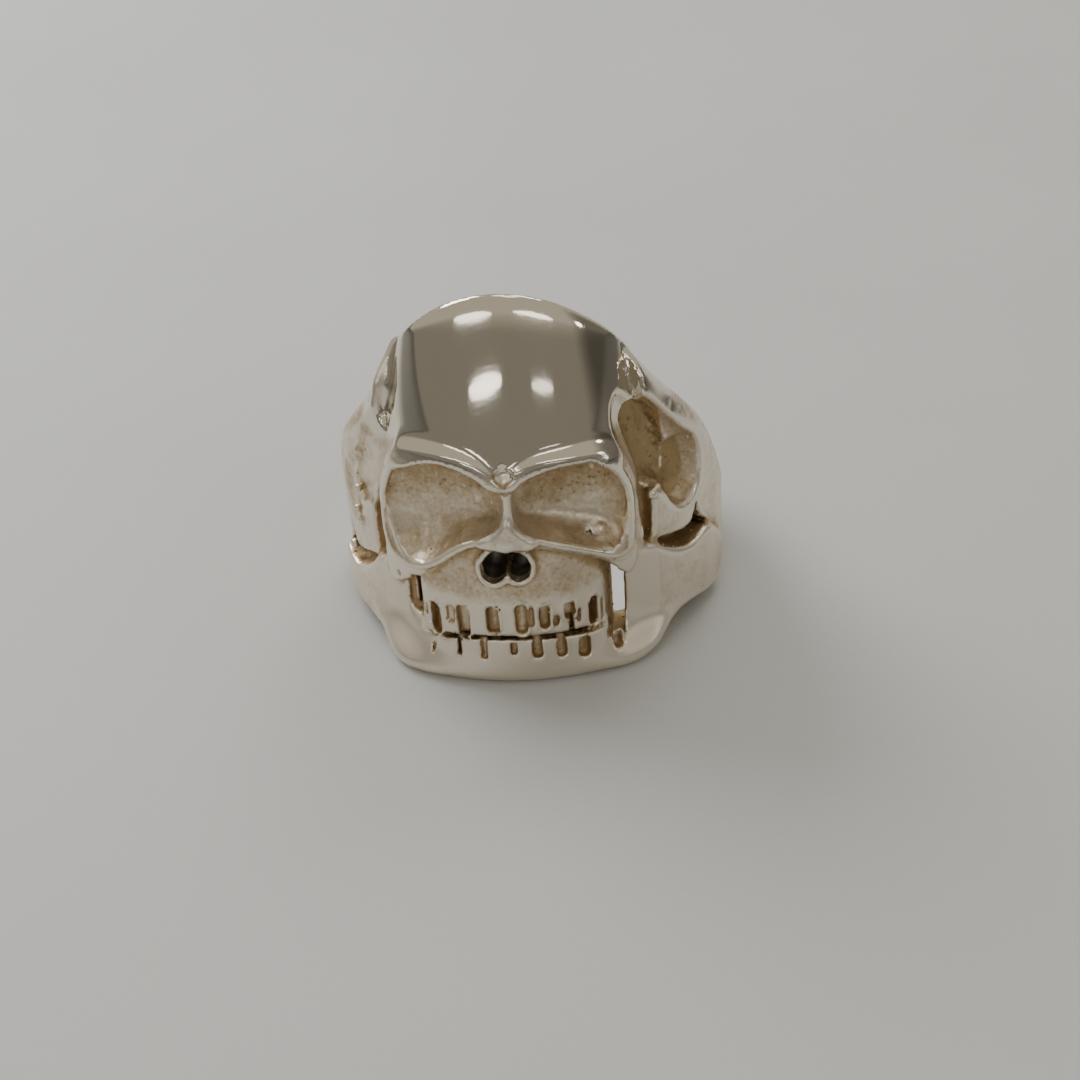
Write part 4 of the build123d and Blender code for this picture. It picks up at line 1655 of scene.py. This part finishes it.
def apply_tree(thing, tree, values):
    """Gives the object a geometry tree with these inputs and turns the result into a plain mesh."""
    modifier = thing.modifiers.new(tree.name, "NODES")
    modifier.node_group = tree
    for item in tree.interface.items_tree:
        if item.in_out == "INPUT" and item.name in values:
            modifier[item.identifier] = values[item.name]
    depsgraph = bpy.context.evaluated_depsgraph_get()
    mesh = bpy.data.meshes.new_from_object(thing.evaluated_get(depsgraph), depsgraph=depsgraph)
    thing.modifiers.remove(modifier)
    plain = thing.data
    thing.data = mesh
    bpy.data.meshes.remove(plain)


# The room: over which directions it brightens overhead and darkens to its shaded side, as the cosine of the
# angle to them.
ROOM_ABOVE = (0.09, 0.2)
ROOM_SHADE = (0.80, 0.96)

# How much a fully warm lamp holds back of red, green and blue.
WARM_LOSS = (0.0, 0.08, 0.2)


def millimetres(settings):
    """Number settings as plain values, lengths in millimetres."""
    plain = SimpleNamespace()
    for item in settings.bl_rna.properties:
        if item.type == "FLOAT" and not item.is_array:
            value = getattr(settings, item.identifier)
            setattr(plain, item.identifier, value / MM if item.unit == "LENGTH" else value)
    return plain


class SkullRingBuild(bpy.types.Operator):
    """Build the cast silver skull ring"""

    bl_idname = "object.skull_ring_build"
    bl_label = "Build skull ring"

    def execute(self, context):
        """Meshes the ring from its sizes, gives it its cast surface and puts it in the frame."""
        finish = context.scene.skull_ring_finish
        sizes = millimetres(context.scene.skull_ring_sizes)
        field = RingField(sizes)
        cell = sizes.cell
        vertices, faces = surface_net(sample(field, cell), cell)
        if len(faces) == 0:
            raise RuntimeError("the ring's sizes give no surface")
        vertices = settle(field, vertices, cell)
        ring = mesh_object("cast_skull_ring", vertices, faces, masks(field, vertices))
        values = {
            "Pit Depth": finish.pit_depth,
            "Pit Spacing": finish.pit_spacing,
            "Grain Depth": finish.grain_depth,
            "Bead Radius": finish.bead_radius,
            "Bead Density": finish.bead_density,
            "Seed": finish.seed,
            "Material": silver_material(finish),
        }
        apply_tree(ring, cast_surface_tree(), values)
        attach(ring, "root")
        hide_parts("skull_ring")
        return {"FINISHED"}


def aimed(location, aim, roll=0.0):
    """Matrix of a lamp or camera that looks from one place at another, turned clockwise by roll."""
    facing = (Vector(aim) - Vector(location)).to_track_quat("-Z", "Y").to_matrix()
    turned = facing @ Matrix.Rotation(-roll, 3, "Z")
    return Matrix.Translation(location) @ turned.to_4x4()


def from_aim(aim, azimuth, elevation, distance):
    """Place at a distance from the aim, its azimuth from the front towards the right."""
    flat = math.cos(elevation)
    way = Vector((flat * math.sin(azimuth), -flat * math.cos(azimuth), math.sin(elevation)))
    return Vector(aim) + way * distance


def towards(tree, way, azimuth, elevation):
    """Output of the cosine of the angle between a direction and the one that the angles give."""
    inputs = {0: way, 1: from_aim((0, 0, 0), azimuth, elevation, 1.0)}
    return add_node(tree, "ShaderNodeVectorMath", inputs, operation="DOT_PRODUCT").outputs["Value"]


def room(stage):
    """World that is brighter overhead and shaded low down on one side."""
    world = bpy.data.worlds.new("Room")
    world.use_nodes = True
    tree = world.node_tree
    way = object_place(tree)
    above = towards(tree, way, math.pi, stage.above_elevation)
    above = ramp(tree, above, *ROOM_ABOVE, 1.0, stage.room_above)
    shade = towards(tree, way, stage.shade_azimuth, 0.0)
    shade = ramp(tree, shade, *ROOM_SHADE, 1.0, stage.shade)
    backdrop = tree.nodes["Background"]
    backdrop.inputs["Color"].default_value = opaque(stage.room_colour)
    light = math_of(tree, "MULTIPLY", math_of(tree, "MULTIPLY", above, shade), stage.room_light)
    tree.links.new(light, backdrop.inputs["Strength"])
    return world


class SkullRingSetStage(bpy.types.Operator):
    """Add the table, the lights and the camera"""

    bl_idname = "object.skull_ring_set_stage"
    bl_label = "Set the stage"

    def execute(self, context):
        """Adds the table, one lamp for each row of the table of lamps, the room and the camera."""
        scene = context.scene
        stage = scene.skull_ring_stage
        half = stage.table_width / 2
        corners = [(-half, -half, 0), (half, -half, 0), (half, half, 0), (-half, half, 0)]
        mesh = bpy.data.meshes.new("table")
        mesh.from_pydata(corners, [], [(0, 1, 2, 3)])
        mesh.materials.append(table_material(stage))
        table = bpy.data.objects.new("table", mesh)
        scene.collection.objects.link(table)

        for name, azimuth, elevation, tilt, distance, width, height, power, warmth in LAMP_ROWS:
            lamp = bpy.data.lights.new(name, "AREA")
            lamp.shape = "ELLIPSE"
            lamp.size = width
            lamp.size_y = height
            lamp.energy = power * stage.light_power
            lamp.color = tuple(1.0 - loss * warmth for loss in WARM_LOSS)
            holder = bpy.data.objects.new(name, lamp)
            place = from_aim(stage.aim, math.radians(azimuth), math.radians(elevation), distance)
            holder.matrix_world = aimed(place, stage.aim, math.radians(tilt))
            scene.collection.objects.link(holder)

        scene.world = room(stage)

        eye = bpy.data.cameras.new("camera")
        eye.lens = stage.lens
        eye.sensor_width = stage.sensor
        eye.clip_start = MM
        holder = bpy.data.objects.new("camera", eye)
        place = from_aim(stage.aim, stage.eye_azimuth, stage.eye_elevation, stage.eye_distance)
        holder.matrix_world = aimed(place, stage.aim, stage.eye_roll)
        scene.collection.objects.link(holder)
        scene.camera = holder
        return {"FINISHED"}


class SkullRingPanel(bpy.types.Panel):
    """Steps and settings of the skull ring"""

    bl_idname = "VIEW3D_PT_skull_ring"
    bl_label = "Skull ring"
    bl_space_type = "VIEW_3D"
    bl_region_type = "UI"
    bl_category = "Skull ring"

    def draw(self, context):
        """Lists the steps, and under them each group of settings in a box."""
        for step_class in STEPS:
            self.layout.operator(step_class.bl_idname)
        for settings in (getattr(context.scene, name) for name in SETTINGS):
            box = self.layout.box()
            for item in settings.bl_rna.properties:
                if item.identifier not in ("rna_type", "name"):
                    box.prop(settings, item.identifier)


STEPS = (SkullRingBuild, SkullRingSetStage)
SETTINGS = {
    "skull_ring_sizes": SkullRingSizes,
    "skull_ring_finish": SkullRingFinish,
    "skull_ring_stage": SkullRingStage,
}


def register():
    """Registers the settings, the steps and the panel."""
    for item in (*SETTINGS.values(), *STEPS, SkullRingPanel):
        bpy.utils.register_class(item)
    for name, item in SETTINGS.items():
        setattr(bpy.types.Scene, name, bpy.props.PointerProperty(type=item))


def unregister():
    """Takes the settings, the steps and the panel away again."""
    for name in SETTINGS:
        delattr(bpy.types.Scene, name)
    for item in reversed((*SETTINGS.values(), *STEPS, SkullRingPanel)):
        bpy.utils.unregister_class(item)


def main():
    """Builds the ring and its stage."""
    register()
    bpy.ops.object.skull_ring_build()
    bpy.ops.object.skull_ring_set_stage()


if __name__ == "__main__":
    main()
